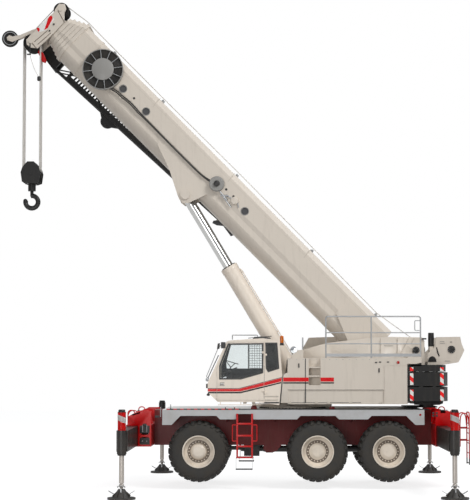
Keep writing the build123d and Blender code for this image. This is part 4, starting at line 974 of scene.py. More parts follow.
# %% Roof rail, wiper, lamps and mirrors
for name, y in (("roof_rail", -1.20), ("roof_rail_far", -0.90)):
    route = [(0.075, y, 3.935), (0.075, y, 4.055), (0.745, y, 4.055), (0.745, y, 3.965)]
    pipe(name, route, 0.009, galvanised, "upper", True)
bm = bmesh.new()
plate(bm, [(0.62, 3.955), (0.66, 4.005), (0.86, 4.015), (1.08, 3.985), (1.10, 3.955)], -1.30, -1.16)
bar(bm, (0.50, -1.23, 3.972), (1.12, -1.23, 4.022), 0.010, 8)
finish("roof_wiper", bm, seal_rubber, "upper", 0.004)
pipe("front_rail", [(-0.235, -1.40, 3.742), (-0.290, -1.41, 3.715), (-0.405, -1.41, 3.43),
                    (-0.600, -1.41, 2.955), (-0.555, -1.40, 2.90)],
     0.010, galvanised, "upper", True)
bm = bmesh.new()
for y in (-1.13, -0.86):
    bar(bm, (-0.585, y, 2.90), (-0.300, y + 0.10, 3.52), 0.007, 8)
    bar(bm, (-0.560, y, 2.885), (-0.600, y, 2.885), 0.024, 12)
finish("wipers", bm, black_plastic, "upper")
bm = bmesh.new()
for x0, z0 in ((-0.285, 3.672), (-0.165, 3.690)):
    plate(bm, [(x0 - 0.03, z0), (x0 + 0.035, z0 + 0.01), (x0 + 0.05, z0 + 0.165), (x0 - 0.01, z0 + 0.150)],
          -1.660, -1.615)
bar(bm, (-0.27, -1.64, 3.76), (-0.10, -1.50, 3.79), 0.009, 8)
finish("front_mirrors", bm, black_plastic, "upper", 0.006)
bm = bmesh.new()
lathe(bm, [(0.0, 0.0), (0.038, 0.004), (0.048, 0.02), (0.044, 0.055), (0.0, 0.062)], (-0.552, -1.44, 2.872),
      (-0.8, -0.6, 0.0), 24)
finish("corner_lamp", bm, white_lens, "upper")
bm = bmesh.new()
plate(bm, [(-0.600, 2.468), (-0.545, 2.545), (-0.500, 2.540), (-0.505, 2.460), (-0.550, 2.440)], -1.47, -1.36)
bar(bm, (-0.53, -1.415, 2.50), (-0.50, -1.415, 2.56), 0.012, 8)
finish("work_light", bm, black_plastic, "upper", 0.006)
bm = bmesh.new()
lathe(bm, [(0.0, -0.145), (0.047, -0.145), (0.047, 0.0), (0.044, 0.020), (0.034, 0.036), (0.018, 0.045),
           (0.0, 0.047)],
      (1.39, -1.38, 3.990), (0.0, 0.0, 1.0), 32)
finish("beacon_lens", bm, amber_lens, "upper")
bm = bmesh.new()
lathe(bm, [(0.0, 0.0), (0.05, 0.003), (0.086, 0.012), (0.096, 0.026), (0.092, 0.040), (0.0, 0.055)],
      (1.690, -1.47, 3.655), (0.35, 0.93, 0.0), 36)
finish("round_mirror", bm, mirror_face, "upper")
pipe("round_mirror_arm", [(1.69, -1.43, 3.655), (1.66, -1.42, 3.60), (1.665, -1.42, 3.46)], 0.012,
     black_plastic, "upper")

# %% Nose of the body behind the cab
nose = [(1.362, 2.262), (1.560, 2.262), (1.560, 3.060), (1.470, 3.035), (1.424, 2.985)]
bm = bmesh.new()
plate(bm, nose, skin - 0.0008, -0.72)
finish("body_nose", bm, body_cream_painted_shade, "upper", 0.006)
bm = bmesh.new()
plate(bm, [(1.338, 2.262), (1.361, 2.262), (1.423, 2.985), (1.404, 2.985)], skin + 0.002, skin + 0.030)
finish("nose_seal", bm, seal_rubber, "upper")
pipe("nose_hose", [(1.50, -1.36, 3.03), (1.505, -1.40, 3.12), (1.530, -1.42, 3.24), (1.535, -1.38, 3.40)],
     0.016, hose_rubber, "upper")
bm = bmesh.new()
for a, b in (((-0.108, 3.383), (0.234, 3.281)), ((-0.108, 3.383), (0.030, 3.196)),
             ((0.030, 3.196), (0.150, 3.306))):
    bar(bm, (a[0], -1.02, a[1]), (b[0], -1.02, b[1]), 0.011, 8)
bar(bm, (0.030, -1.02, 3.196), (-0.040, -1.03, 3.00), 0.014, 8)
finish("cab_display_frame", bm, black_plastic, "upper")

# %% Door handle, hinges and seams of the body
bm = bmesh.new()
plate(bm, [(-0.245, 2.715), (-0.118, 2.715), (-0.118, 2.800), (-0.245, 2.800)], skin - 0.010, skin + 0.002)
finish("door_handle_plate", bm, black_plastic, "cab_door", 0.006)
bm = bmesh.new()
box(bm, (-0.225, skin - 0.024, 2.752), (-0.140, skin - 0.012, 2.778))
for x in (-0.222, -0.143):
    box(bm, (x, skin - 0.022, 2.755), (x + 0.008, skin - 0.002, 2.775))
finish("door_handle", bm, bright_steel, "cab_door", 0.003)
bm = bmesh.new()
for x, z in ((1.835, 3.247), (3.949, 3.120)):
    box(bm, (x - 0.017, skin - 0.014, z - 0.055), (x + 0.017, skin + 0.002, z + 0.055))
for x, z in ((3.87, 3.326), (3.975, 3.337), (4.187, 3.337)):
    box(bm, (x - 0.030, skin - 0.010, z - 0.014), (x + 0.030, skin + 0.002, z + 0.014))
finish("body_latches", bm, black_plastic, "upper", 0.004)
bm = bmesh.new()
lathe(bm, [(0.0, 0.0), (0.040, 0.0), (0.040, 0.012), (0.030, 0.022), (0.0, 0.026)],
      (4.451, skin + 0.001, 3.326), (0.0, -1.0, 0.0), 24)
finish("side_lens", bm, red_lens, "upper")
bm = bmesh.new()
box(bm, (1.996, skin - 0.0012, 2.262), (2.022, skin + 0.001, 3.43))
box(bm, (1.545, skin - 0.0012, 2.604), (4.070, skin + 0.001, 2.611))
box(bm, (4.690, skin - 0.0012, 2.25), (4.697, skin + 0.001, 3.285))
finish("body_seams", bm, seal_rubber, "upper")
bm = bmesh.new()
for x in (1.60, 2.30, 2.62, 3.20, 3.98):
    plate(bm, [(x - 0.05, 2.245), (x + 0.05, 2.245), (x + 0.03, 2.300), (x - 0.03, 2.300)], -1.488, -1.474)
finish("sill_hinges", bm, cream_dark, "upper", 0.003)
bm = bmesh.new()
box(bm, (1.560, -1.4835, 2.262), (3.470, -1.4765, 2.275))
finish("sill_strip", bm, seal_rubber, "upper")
screws = bolt("body_screws", 0.011, 0.009, 0.008, 8, (1.60, skin - 0.003, 3.405))
repeat(screws, line_tree, 14, (0.175, 0.0, 0.0), HERE, bright_steel)
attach(screws, "upper")
print("left body dressed")

# %% [markdown]
# ## Engine cover
#
# Behind the boom foot the engine's cover rises in a long wedge on the far side. It has a
# door with a louvre.

# %% Engine cover on the far side
bm = bmesh.new()
plate(bm, [(2.25, 3.55), (3.15, 3.55), (3.15, 3.88), (2.30, 3.88)], 1.397, 1.406)
finish("engine_cover_door", bm, body_cream_painted_shade, "upper", 0.004)
bm = bmesh.new()
box(bm, (2.36, 1.406, 3.60), (3.08, 1.412, 3.612))
slat = drawn("engine_cover_slats", bm)
repeat(slat, line_tree, 9, (0.0, 0.0, 0.03), HERE, black_plastic)
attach(slat, "upper")

# %% [markdown]
# ## Counterweight and winches
#
# Three black slabs hang at the rear, with red and white film at both ends of each. The
# winch ends show as black wheels with a ring of bolts and a ribbed hub.

# %% Counterweight film and cradle
for tag, z0, z1 in (("low", 2.322, 2.613), ("mid", 2.735, 3.045), ("top", 3.100, 3.200)):
    bm = bmesh.new()
    box(bm, (4.762, skin - 0.002, z0), (4.852, skin + 0.001, z1))
    box(bm, (5.556, skin - 0.002, z0), (5.650, skin + 0.001, z1))
    box(bm, (4.762, -skin - 0.001, z0), (4.852, -skin + 0.002, z1))
    box(bm, (5.556, -skin - 0.001, z0), (5.650, -skin + 0.002, z1))
    finish("weight_film_" + tag, bm, weight_stripes, "upper")
bm = bmesh.new()
cradle = [(4.940, 2.303), (5.740, 2.303), (5.740, 2.225), (5.640, 2.185), (5.480, 2.180), (5.455, 2.110),
          (5.225, 2.110),
          (5.200, 2.180), (4.960, 2.190)]
plate(bm, cradle, -0.60, -0.562)
plate(bm, cradle, 0.562, 0.60)
plate(bm, [(4.72, 2.146), (5.59, 2.146), (5.59, 2.112), (4.72, 2.112)], -0.555, 0.555)
finish("weight_cradle", bm, black, "upper", 0.006)
bm = bmesh.new()
for z in (2.679, 3.067):
    for x in (5.05, 5.40):
        plate(bm, [(x - 0.06, z - 0.02), (x + 0.06, z - 0.02), (x + 0.035, z + 0.024),
                   (x - 0.035, z + 0.024)], -1.503, -1.44)
finish("weight_lugs", bm, black, "upper", 0.006)

# %% Rope roller, third wheel and guard at the rear
bm = bmesh.new()
lathe(bm, [(0.0, 0.0), (0.050, 0.0), (0.066, 0.05), (0.079, 0.13), (0.082, 0.30), (0.078, 0.47),
           (0.070, 0.485), (0.0, 0.485)],
      (5.435, -0.478, 3.645), (0.0, 0.0, 1.0), 40)
finish("rope_roller", bm, black, "upper")
bm = bmesh.new()
half = [(5.454 + 0.112 * math.cos(math.pi * k / 18.0), 3.345 + 0.150 * math.sin(math.pi * k / 18.0))
        for k in range(19)]
plate(bm, half, -0.612, -0.597)
plate(bm, [(5.585, 3.740), (5.600, 3.665), (5.640, 3.545), (5.655, 3.495), (5.622, 3.500), (5.575, 3.620),
           (5.560, 3.735)], -0.606, -0.597)
plate(bm, [(5.175, 3.945), (5.300, 3.945), (5.300, 3.985), (5.175, 3.985)], -0.60, -0.50)
plate(bm, [(5.932, 3.870), (5.992, 3.870), (5.992, 3.886), (5.932, 3.886)], -0.606, -0.597)
finish("winch_guard", bm, black, "upper", 0.003)
bm = bmesh.new()
for x0, z0, x1, z1 in ((5.66, 3.885, 5.78, 3.897), (5.66, 3.84, 5.80, 3.85), (5.80, 3.36, 5.93, 3.372),
                       (4.16, 3.77, 4.40, 3.782)):
    box(bm, (x0, -0.606 if x0 > 4.5 else -0.566, z0), (x1, -0.590 if x0 > 4.5 else -0.555, z1))
finish("winch_plate_marks", bm, grey, "upper")
for n, y in enumerate((-1.45, -0.98)):
    route = [(6.075, y, 1.640), (6.080, y, 1.820), (6.105, y, 1.950), (6.170, y, 1.995), (6.245, y, 1.985),
             (6.300, y, 1.890), (6.313, y, 1.660)]
    pipe("rear_hand_loop_%d" % n, route, 0.015, red, "chassis")
bm = bmesh.new()
for z in (1.655, 1.80):
    bar(bm, (6.085, -1.45, z), (6.085, -0.98, z), 0.011, 8)
finish("rear_hand_rungs", bm, red, "chassis")

# %% Winch ends
drum_places = {"main_drum": (5.020, 3.660, 0.096), "rear_drum": (5.972, 3.677, 0.106)}
for body, (x, z, radius) in drum_places.items():
    for side in (-1.0, 1.0):
        tag = body + ("_left" if side < 0 else "_right")
        face_y = side * 0.580 if body == "main_drum" else side * 0.602
        bm = bmesh.new()
        lathe(bm, [(0.0, 0.0), (radius * 0.55, 0.0), (radius * 0.62, -0.012), (radius * 0.9, -0.012),
                   (radius * 0.98, 0.004),
                   (radius * 0.9, 0.016), (radius * 0.55, 0.020), (radius * 0.3, 0.034), (0.0, 0.034)],
              (x, face_y, z), (0.0, side, 0.0), 40)
        finish(tag + "_end", bm, black, body)
        bolts = bolt(tag + "_bolts", 0.008, 0.008, 0.014, 6, (0.0, 0.0, radius * 0.78))
        place = Matrix.Translation((x, face_y + side * 0.016, z))
        repeat(bolts, round_tree, 10, (0.0, 2.0 * math.pi / 10.0, 0.0), HERE, bright_steel, place)
        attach(bolts, body)
rope_turns = {"main_drum": (5.020, 3.660), "rear_drum": (5.972, 3.677)}
for body, (x, z) in rope_turns.items():
    bm = bmesh.new()
    profile = []
    turns = 30
    for k in range(turns * 4 + 1):
        along = -0.396 + 0.792 * k / (turns * 4)
        profile.append((0.205 + 0.011 * abs(math.sin(math.pi * k / 4)), along))
    profile = [(0.189, -0.396)] + profile + [(0.189, 0.396)]
    lathe(bm, profile, (x, 0.0, z), (0.0, 1.0, 0.0), 40)
    finish(body + "_rope", bm, rope_steel, body)
print("winches dressed")

# %% [markdown]
# ## Deck edge, lashing blocks and chassis pipes
#
# The front of the deck has a black edge with red dashes, and dark red lashing blocks
# stand on it. Under the deck are hoses, air tanks and a tie rod across each axle.

# %% Deck trim
bm = bmesh.new()
box(bm, (-1.640, -1.606, 2.086), (0.300, -1.570, 2.116))
box(bm, (-1.640, 1.599, 2.052), (0.300, 1.603, 2.086))
finish("deck_edge_dashes", bm, dash_stripes, "chassis", 0.003)
bm = bmesh.new()
box(bm, (0.302, -1.604, 2.086), (5.110, -1.570, 2.101))
box(bm, (0.302, 1.599, 2.070), (5.110, 1.603, 2.086))
finish("deck_edge", bm, black_plastic, "chassis", 0.002)
bm = bmesh.new()
for x0, x1 in ((0.563, 0.742), (2.640, 2.795)):
    for y in (-1.34, 1.22):
        plate(bm, [(x0, 2.087), (x1, 2.087), (x1 - 0.02, 2.168), (x0 + 0.02, 2.168)], y, y + 0.12)
for x in (-0.09, 0.145):
    bar(bm, (x, -1.53, 2.087), (x, -1.53, 2.150), 0.013, 10)
finish("lashing_blocks", bm, dark_red_with_painted_shade, "chassis", 0.006)
bm = bmesh.new()
lathe(bm, [(0.0, 0.0), (0.030, 0.0), (0.030, 0.008), (0.0, 0.012)], (5.019, -1.601, 1.953), (0.0, -1.0, 0.0),
      20)
lathe(bm, [(0.0, 0.0), (0.030, 0.0), (0.030, 0.008), (0.0, 0.012)], (5.019, 1.601, 1.953), (0.0, 1.0, 0.0),
      20)
finish("side_reflectors", bm, red_lens, "chassis")
ring_bolts = bolt("slewing_bolts", 0.020, 0.020, 0.026, 6, (0.0, 0.888, 0.0), False)
ring_bolts.data.transform(Matrix.Rotation(0.0, 4, "X"))
place = Matrix.Translation((slew_x, 0.0, 2.101))
repeat(ring_bolts, round_tree, 60, (0.0, 0.0, 2.0 * math.pi / 60.0), HERE, dark_steel, place)
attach(ring_bolts, "chassis")

# %% Under the deck
for tag, x in (("front", -2.488), ("middle", 0.638), ("rear", 2.504)):
    x = x + slew_x
    bm = bmesh.new()
    rear = x + 0.30
    bar(bm, (rear, -0.78, 0.784), (rear, 0.78, 0.784), 0.028, 14)
    for y in (-0.78, 0.78):
        ball(bm, (rear, y, 0.784), 0.045, 14)
        bar(bm, (rear, y, 0.784), (x + 0.10, y, 0.80), 0.030, 12)
    finish("tie_rod_" + tag, bm, dark_steel, "chassis")
for n, (y, drop) in enumerate(((-0.34, 0.0), (-0.28, 0.03), (0.33, 0.02))):
    route = [(-1.20, y, 1.20), (-0.60, y, 1.06 - drop), (0.05, y, 1.03 - drop), (0.60, y, 1.07 - drop),
             (1.4, y, 1.17), (2.2, y, 1.10 - drop),
             (3.1, y, 1.13), (3.9, y, 1.08 - drop), (4.9, y, 1.2)]
    pipe("brake_line_%d" % n, route, 0.014, hose_rubber, "chassis")
bm = bmesh.new()
for x0, x1 in ((0.93, 1.62), (2.95, 3.42)):
    bar(bm, (x0, -0.40, 1.00), (x1, -0.40, 1.00), 0.085, 20)
    ball(bm, (x0, -0.40, 1.00), 0.085, 20)
    ball(bm, (x1, -0.40, 1.00), 0.085, 20)
finish("air_tanks", bm, black, "chassis")
print("chassis dressed")

# %% [markdown]
# ## Jacks
#
# Above each black beam stands the jack's tube under a black cap. It wears red film with a
# slanted white band. At the bottom two wire bails lift the float, and a split clip holds
# it to the rod's ball.

# %% Jack film, caps, bails and clips
ends = (("front", -1.0), ("rear", 1.0))
sides = (("left", -1.0), ("right", 1.0))


def jack_x(end, side):
    outer, inner = end * 4.220, end * 3.890
    x = min(outer, inner) if side < 0 else max(outer, inner)
    return x + slew_x


def wrap(bm, x, y, radius, angles, heights):
    """A thin film round a tube; its low and high edge may change across the tube."""
    rings = []
    for angle in angles:
        across, deep = radius * math.cos(angle), radius * math.sin(angle)
        rings.append([bm.verts.new((x + across, y + deep, z)) for z in heights(across)])
    for a, b in zip(rings, rings[1:]):
        bm.faces.new((a[0], b[0], b[1], a[1]))
    bmesh.ops.solidify(bm, geom=bm.faces[:], thickness=0.001)


for end_name, end in ends:
    for side_name, side in sides:
        tag = end_name + "_" + side_name
        x, y = jack_x(end, side), side * 4.200
        half_wrap = [side * math.pi / 2.0 + math.radians(-96.0 + 8.0 * k) for k in range(25)]
        bm = bmesh.new()
        wrap(bm, x, y, 0.1005, half_wrap, lambda across: (1.672, 2.112))
        finish("jack_film_" + tag, bm, film_red, "beam_" + tag)
        bm = bmesh.new()
        wrap(bm, x, y, 0.1015, half_wrap, lambda across: (1.880 - 0.43 * across, 2.020 - 0.43 * across))
        finish("jack_band_" + tag, bm, film_white, "beam_" + tag)
        bm = bmesh.new()
        lathe(bm, [(0.0, 2.108), (0.104, 2.108), (0.104, 2.118), (0.086, 2.122), (0.082, 2.166),
                   (0.070, 2.178), (0.0, 2.178)],
              (x, y, 0.0), (0.0, 0.0, 1.0), 40)
        finish("jack_cap_" + tag, bm, black, "beam_" + tag)
        bm = bmesh.new()
        lathe(bm, [(0.062, 1.062), (0.102, 1.062), (0.108, 1.100), (0.062, 1.100)], (x, y, 0.0),
              (0.0, 0.0, 1.0), 40)
        for turn in range(6):
            angle = math.pi / 3.0 * turn
            bar(bm, (x + 0.085 * math.cos(angle), y + 0.085 * math.sin(angle), 1.064),
                (x + 0.085 * math.cos(angle), y + 0.085 * math.sin(angle), 1.056), 0.011, 6)
        finish("jack_gland_" + tag, bm, black, "beam_" + tag)
        for hand, way in (("a", -1.0), ("b", 1.0)):
            low, high = x + way * 0.19, x + way * 0.315
            route = [(low, y - 0.05, 0.130), (high - way * 0.03, y - 0.055, 0.185), (high, y - 0.02, 0.205),
                     (high, y + 0.02, 0.205),
                     (high - way * 0.03, y + 0.055, 0.185), (low, y + 0.05, 0.130)]
            pipe("float_bail_" + tag + "_" + hand, route, 0.007, galvanised, "jack_" + tag)
        clip_route = [(x - 0.085, y - 0.045, 0.282), (x - 0.095, y - 0.05, 0.315),
                      (x - 0.055, y - 0.095, 0.330),
                      (x + 0.055, y - 0.095, 0.330), (x + 0.095, y - 0.05, 0.315),
                      (x + 0.085, y - 0.045, 0.282)]
        pipe("float_clip_" + tag, clip_route, 0.011, galvanised, "jack_" + tag)
        bm = bmesh.new()
        rib = [(0.085, 0.225), (0.085, 0.120), (0.215, 0.075), (0.235, 0.075), (0.225, 0.105)]
        plate(bm, rib, -0.008, 0.008)
        ribs = drawn("float_ribs_" + tag, bm)
        repeat(ribs, round_tree, 8, (0.0, 0.0, math.pi / 4.0), (0.0, 0.0, math.pi / 8.0), black,
               Matrix.Translation((x, y, 0.0)))
        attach(ribs, "jack_" + tag)
        bm = bmesh.new()
        box(bm, (x - 0.014, y - 0.135, 0.150), (x + 0.014, y - 0.118, 0.262))
        box(bm, (x - 0.028, y - 0.137, 0.245), (x + 0.014, y - 0.119, 0.268))
        finish("float_hasp_" + tag, bm, galvanised, "jack_" + tag, 0.002)
print("jacks dressed")

# %% [markdown]
# ## Boom dressing
#
# The near side of the boom carries a big hose reel, a swivel reel, hoses laid along its
# groove, inspection holes and bolted seams. Along the top runs the hoist rope, held by a
# guide on each section.

# %% Hose reel
reel = on_boom(10.676, 0.672, -0.502)
bm = bmesh.new()
profile = [(0.302, 0.026)]
turns = 9
for k in range(turns * 4 + 1):
    radius = 0.310 + 0.222 * k / (turns * 4)
    profile.append((radius, 0.080 + 0.012 * abs(math.sin(math.pi * k / 4))))
profile.append((0.535, 0.026))
lathe(bm, profile, reel, (0.0, -1.0, 0.0), 64)
finish("reel_hose", bm, hose_rubber, "boom")
bm = bmesh.new()
lathe(bm, [(0.0, 0.127), (0.285, 0.127), (0.296, 0.131), (0.300, 0.140), (0.292, 0.146), (0.0, 0.146)], reel,
      (0.0, -1.0, 0.0), 64)
finish("reel_cover", bm, grey, "boom")
bm = bmesh.new()
plate(bm, [(0.296, -0.009), (0.552, -0.006), (0.552, 0.006), (0.296, 0.009)], -0.128, -0.112)
spokes = drawn("reel_spokes", bm)
repeat(spokes, round_tree, 12, (0.0, math.pi / 6.0, 0.0), (0.0, math.radians(45.2 + 8.0), 0.0), galvanised,
       Matrix.Translation((reel.x, reel.y, reel.z)))
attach(spokes, "boom")

# %% Small reel, hoses and hole rims
small = on_boom(6.274, 0.672, -0.474)
bm = bmesh.new()
lathe(bm, [(0.0, 0.099), (0.058, 0.099), (0.072, 0.106), (0.076, 0.128), (0.060, 0.148), (0.030, 0.156),
           (0.0, 0.156)],
      small, (0.0, -1.0, 0.0), 40)
finish("swivel_cap", bm, black_plastic, "boom")
bolts = bolt("swivel_bolts", 0.012, 0.012, 0.016, 6, (0.0, -0.006, 0.155))
repeat(bolts, round_tree, 8, (0.0, math.pi / 4.0, 0.0), (0.0, 0.2, 0.0), bright_steel,
       Matrix.Translation((small.x, small.y - 0.060, small.z)))
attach(bolts, "boom")
for n, shift in enumerate((0.0, 0.045)):
    route = [(10.35, 0.40 + shift), (10.04, 0.50 + shift), (9.78, 0.50 + shift), (9.51, 0.545 + shift),
             (9.18, 0.515 + shift),
             (9.07, 0.53 + shift * 0.7), (8.70, 0.535 + shift * 0.5), (8.0, 0.530 + shift * 0.4),
             (7.2, 0.530 + shift * 0.4),
             (6.60, 0.545 + shift * 0.4), (6.42, 0.60 + shift)]
    points = [on_boom(u, v, -0.440 - 0.018 - (0.02 if u > 9.1 else 0.0)) for u, v in route]
    pipe("boom_hose_%d" % n, points, 0.017, hose_rubber, "boom")
bm = bmesh.new()
for u, v, radius in ((9.939, 0.699, 0.097), (9.051, 0.706, 0.097), (5.213, 0.694, 0.097)):
    spot = on_boom(u, v, -0.4405)
    lathe(bm, [(radius, -0.010), (radius + 0.020, -0.002), (radius + 0.020, 0.005), (radius, 0.008)], spot,
          (0.0, -1.0, 0.0), 40)
finish("hole_rims", bm, grey, "boom")
# Dark discs set a little inside the three big holes: painted shade for the hollow boom behind them.
bm = bmesh.new()
for u, v, radius in ((9.939, 0.699, 0.097), (9.051, 0.706, 0.097), (5.213, 0.694, 0.097)):
    spot = on_boom(u, v, -0.415)
    lathe(bm, [(0.0, 0.0), (radius - 0.003, 0.0), (radius - 0.003, 0.010), (0.0, 0.012)], spot,
          (0.0, -1.0, 0.0), 40)
finish("hole_shade_plates", bm, trim_plastic, "boom")
# Black discs where the boom has small holes: painted shade for the holes' dark insides.
bm = bmesh.new()
for u, v in ((9.542, 0.730), (5.993, 0.755), (5.718, 0.758)):
    spot = on_boom(u, v, -0.438)
    lathe(bm, [(0.0, 0.0), (0.030, 0.0), (0.034, 0.005), (0.0, 0.006)], spot, (0.0, -1.0, 0.0), 24)
finish("small_hole_shade_discs", bm, black_plastic, "boom")

# %% Hanger under the boom and pipes of the lift cylinder
hanger = [(5.700, -0.060), (5.680, -0.115), (5.560, -0.075), (5.420, 0.040), (5.200, 0.010), (5.070, -0.010),
          (5.040, 0.050),
          (5.180, 0.150), (5.520, 0.150)]
# A dark plate a little larger than the cream hanger: painted shade under the boom.
bm = bmesh.new()
plate(bm, boom_outline(shrink(hanger, -0.012)), 0.354, 0.366)
finish("boom_hanger_shade_plate", bm, trim_plastic, "boom", 0.003)
foot = Vector((0.157 + slew_x, 0.0, 2.769))
eye = on_boom(6.688, -0.125)
along = (eye - foot).normalized()
across = Vector((-along.z, 0.0, along.x))
if across.x < 0.0:
    across = -across
for n, y in enumerate((-0.10, 0.10)):
    route = [foot + along * d + across * h + Vector((0.0, y, 0.0)) for d,
             h in ((0.42, 0.236), (0.48, 0.262), (1.2, 0.262), (2.4, 0.262), (3.42, 0.262), (3.50, 0.244))]
    pipe("lift_pipe_%d" % n, route, 0.014, cream, "lift_barrel", True)
bm = bmesh.new()
for d in (0.55, 1.5, 2.45, 3.4):
    a = foot + along * d + across * 0.236
    b = foot + along * d + across * 0.280
    for y in (-0.10, 0.10):
        bar(bm, (a.x, y, a.z), (b.x, y, b.z), 0.020, 8)
finish("lift_pipe_clips", bm, cream, "lift_barrel")
bm = bmesh.new()
lathe(bm, [(0.141, 3.700), (0.205, 3.700), (0.212, 3.716), (0.196, 3.728), (0.156, 3.732), (0.141, 3.726)],
      foot, along, 40)
finish("lift_gland_ring", bm, black, "lift_barrel")

# %% Swivel fittings and seams
bm = bmesh.new()
for u0, v0, u1, v1, r in ((6.10, 0.60, 5.80, 0.56, 0.022), (5.98, 0.52, 5.86, 0.64, 0.026),
                          (5.84, 0.66, 5.52, 0.72, 0.016),
                          (5.52, 0.72, 5.40, 0.64, 0.016), (5.90, 0.55, 5.55, 0.50, 0.018)):
    bar(bm, on_boom(u0, v0, -0.468), on_boom(u1, v1, -0.468), r, 10)
for u, v in ((5.93, 0.577), (5.80, 0.56), (5.86, 0.64)):
    ball(bm, on_boom(u, v, -0.468), 0.034, 12)
finish("swivel_pipes", bm, galvanised, "boom")
bm = bmesh.new()
lathe(bm, [(0.0, 0.0), (0.100, 0.0), (0.110, 0.012), (0.104, 0.046), (0.070, 0.058), (0.0, 0.058)],
      on_boom(5.610, 0.700, -0.442), (0.0, -1.0, 0.0), 36)
finish("swivel_box", bm, boom_cream_painted_shade, "boom")
bm = bmesh.new()
for u in (9.00, 6.10, 3.17):
    plate(bm, boom_outline([(u, 0.93), (u + 0.014, 0.93), (u + 0.044, 1.10), (u + 0.044, 1.235),
                            (u + 0.030, 1.235), (u + 0.030, 1.10)]),
          -0.444, -0.436)
finish("boom_seams", bm, cream_dark, "boom")
bm = bmesh.new()
for u in (10.9, 9.00, 6.10, 3.17, 0.7):
    plate(bm, boom_outline([(u - 0.05, 1.205), (u + 0.05, 1.205), (u + 0.03, 1.30), (u - 0.03, 1.30)]),
          -0.060, -0.046)
    plate(bm, boom_outline([(u - 0.05, 1.205), (u + 0.05, 1.205), (u + 0.03, 1.30), (u - 0.03, 1.30)]), 0.046,
          0.060)
    bar(bm, on_boom(u, 1.275, -0.062), on_boom(u, 1.275, 0.062), 0.022, 14)
finish("rope_guides", bm, galvanised, "boom", 0.003)
for n, way in enumerate((-1.0, 1.0)):
    bm = bmesh.new()
    plate(bm, boom_outline([(0.35, 1.00), (11.78, 1.00), (11.78, 1.006), (0.35, 1.006)]), way * 0.4405,
          way * 0.4385)
    finish("boom_weld_%d" % n, bm, cream_dark, "boom")

# %% Hoist rope from the winch over the boom to the head
rope_y = -0.059
low_turn = Vector((5.1375, rope_y, 3.8635))
spans = [
    ("upper", "boom", [low_turn, on_boom(0.70, 1.312, rope_y)]),
    ("boom", None, [on_boom(u, v, rope_y) for u, v in ((0.70, 1.312), (3.17, 1.330), (6.10, 1.345),
                                                       (9.00, 1.325), (11.60, 1.330))]),
    ("boom", "boom_1", [on_boom(11.60, 1.330, rope_y), on_boom(12.02, 1.336, rope_y)]),
    ("boom_1", "boom_2", [on_boom(12.02, 1.336, rope_y), on_boom(12.14, 1.320, rope_y)]),
    ("boom_2", "boom_3", [on_boom(12.14, 1.320, rope_y), on_boom(12.26, 1.303, rope_y)]),
    ("boom_3", "boom_4", [on_boom(12.26, 1.303, rope_y), on_boom(12.38, 1.285, rope_y)]),
    ("boom_4", "boom_5", [on_boom(12.38, 1.285, rope_y), on_boom(12.72, 1.236, rope_y)]),
]
for n, (low_body, high_body, route) in enumerate(spans):
    name = "hoist_line_%d" % n
    if high_body is None:
        pipe(name, route, 0.012, fall_steel, low_body, True)
    else:
        a, b = route
        fine = [a.lerp(b, k / 12.0) for k in range(13)]
        piece = pipe(name, fine, 0.012, fall_steel, None, True)
        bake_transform(piece)
over = [on_boom(12.746 + 0.199 * math.sin(math.radians(a)), 1.033 + 0.199 * math.cos(math.radians(a)),
                rope_y) for a in range(0, 91, 15)]
over.append(on_boom(12.904, 0.10, rope_y))
fall_low, fall_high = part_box("hoist_ropes")
fall_radius, fall_spacing = 0.013, 0.118
fall_top, fall_foot = fall_high.z, fall_low.z
fall_sides = (fall_low.x + fall_radius, fall_high.x - fall_radius)
over += [on_boom(12.676 + 0.228 * math.cos(math.radians(a)), -0.169 - 0.228 * math.sin(math.radians(a)),
                 rope_y) for a in range(0, 16, 15)]
pipe("hoist_line_head", over[:-2], 0.012, fall_steel, "boom_5", True)
over_start, over_end = over[-3], over[-1]
piece = pipe("hoist_line_turn", [over_start.lerp(over[-2], k / 6.0) for k in range(7)] + [over_end], 0.012,
             fall_steel, None, True)
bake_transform(piece)
print("hoist rope reeved")

# %% Falls of the hoist rope from the head down to the hook
rows = 40
parts = []
for x in fall_sides:
    for n in range(4):
        y = (n - 1.5) * fall_spacing
        route = [Vector((x, y, fall_top + (fall_foot - fall_top) * k / rows)) for k in range(rows + 1)]
        parts.append(pipe("fall_%d_%d" % (x > fall_sides[0], n), route, fall_radius, fall_steel, None, True))
falls_rope = join("hoist_falls", parts, None)
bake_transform(falls_rope)
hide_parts("hoist_ropes")
print("falls:", len(parts), "lines from", round(fall_top, 3), "to", round(fall_foot, 3), "m")

# %% Overload weight and its switch
rope_x, weight_y, weight_z = fall_sides[1], -0.338, 11.03
bm = bmesh.new()
lathe(bm, [(0.018, 0.0), (0.036, 0.004), (0.050, 0.022), (0.050, 0.108), (0.036, 0.126), (0.018, 0.130)],
      (rope_x, weight_y, weight_z), (0.0, 0.0, 1.0), 28)
finish("overload_weight", bm, black_plastic, "falls")
switch = Vector((-5.505, -0.335, 11.760))
pipe("overload_cable", [switch, (-5.44, weight_y, 11.50), (-5.33, weight_y, 11.25),
                        (rope_x - 0.01, weight_y, weight_z + 0.12)],
     0.008, fall_steel, "falls")
bm = bmesh.new()
box(bm, (-5.520, -0.342, 11.76), (-5.492, -0.3295, 12.10))
box(bm, (-5.590, -0.350, 11.750), (-5.480, -0.322, 11.785))
finish("overload_switch", bm, black_plastic, "boom_5", 0.003)
print("overload weight hangs at", round(weight_z, 2), "m")

# %% Side plate and lacing of the stowed fly
fly_turn = math.radians(45.2 - 2.6)


def on_fly(x, z):
    """A side-view place given along and above the stowed fly, from its head end."""
    foot = on_boom(11.940, -0.190)
    cos, sin = math.cos(fly_turn), math.sin(fly_turn)
    return foot.x + x * cos + z * sin, foot.z - x * sin + z * cos


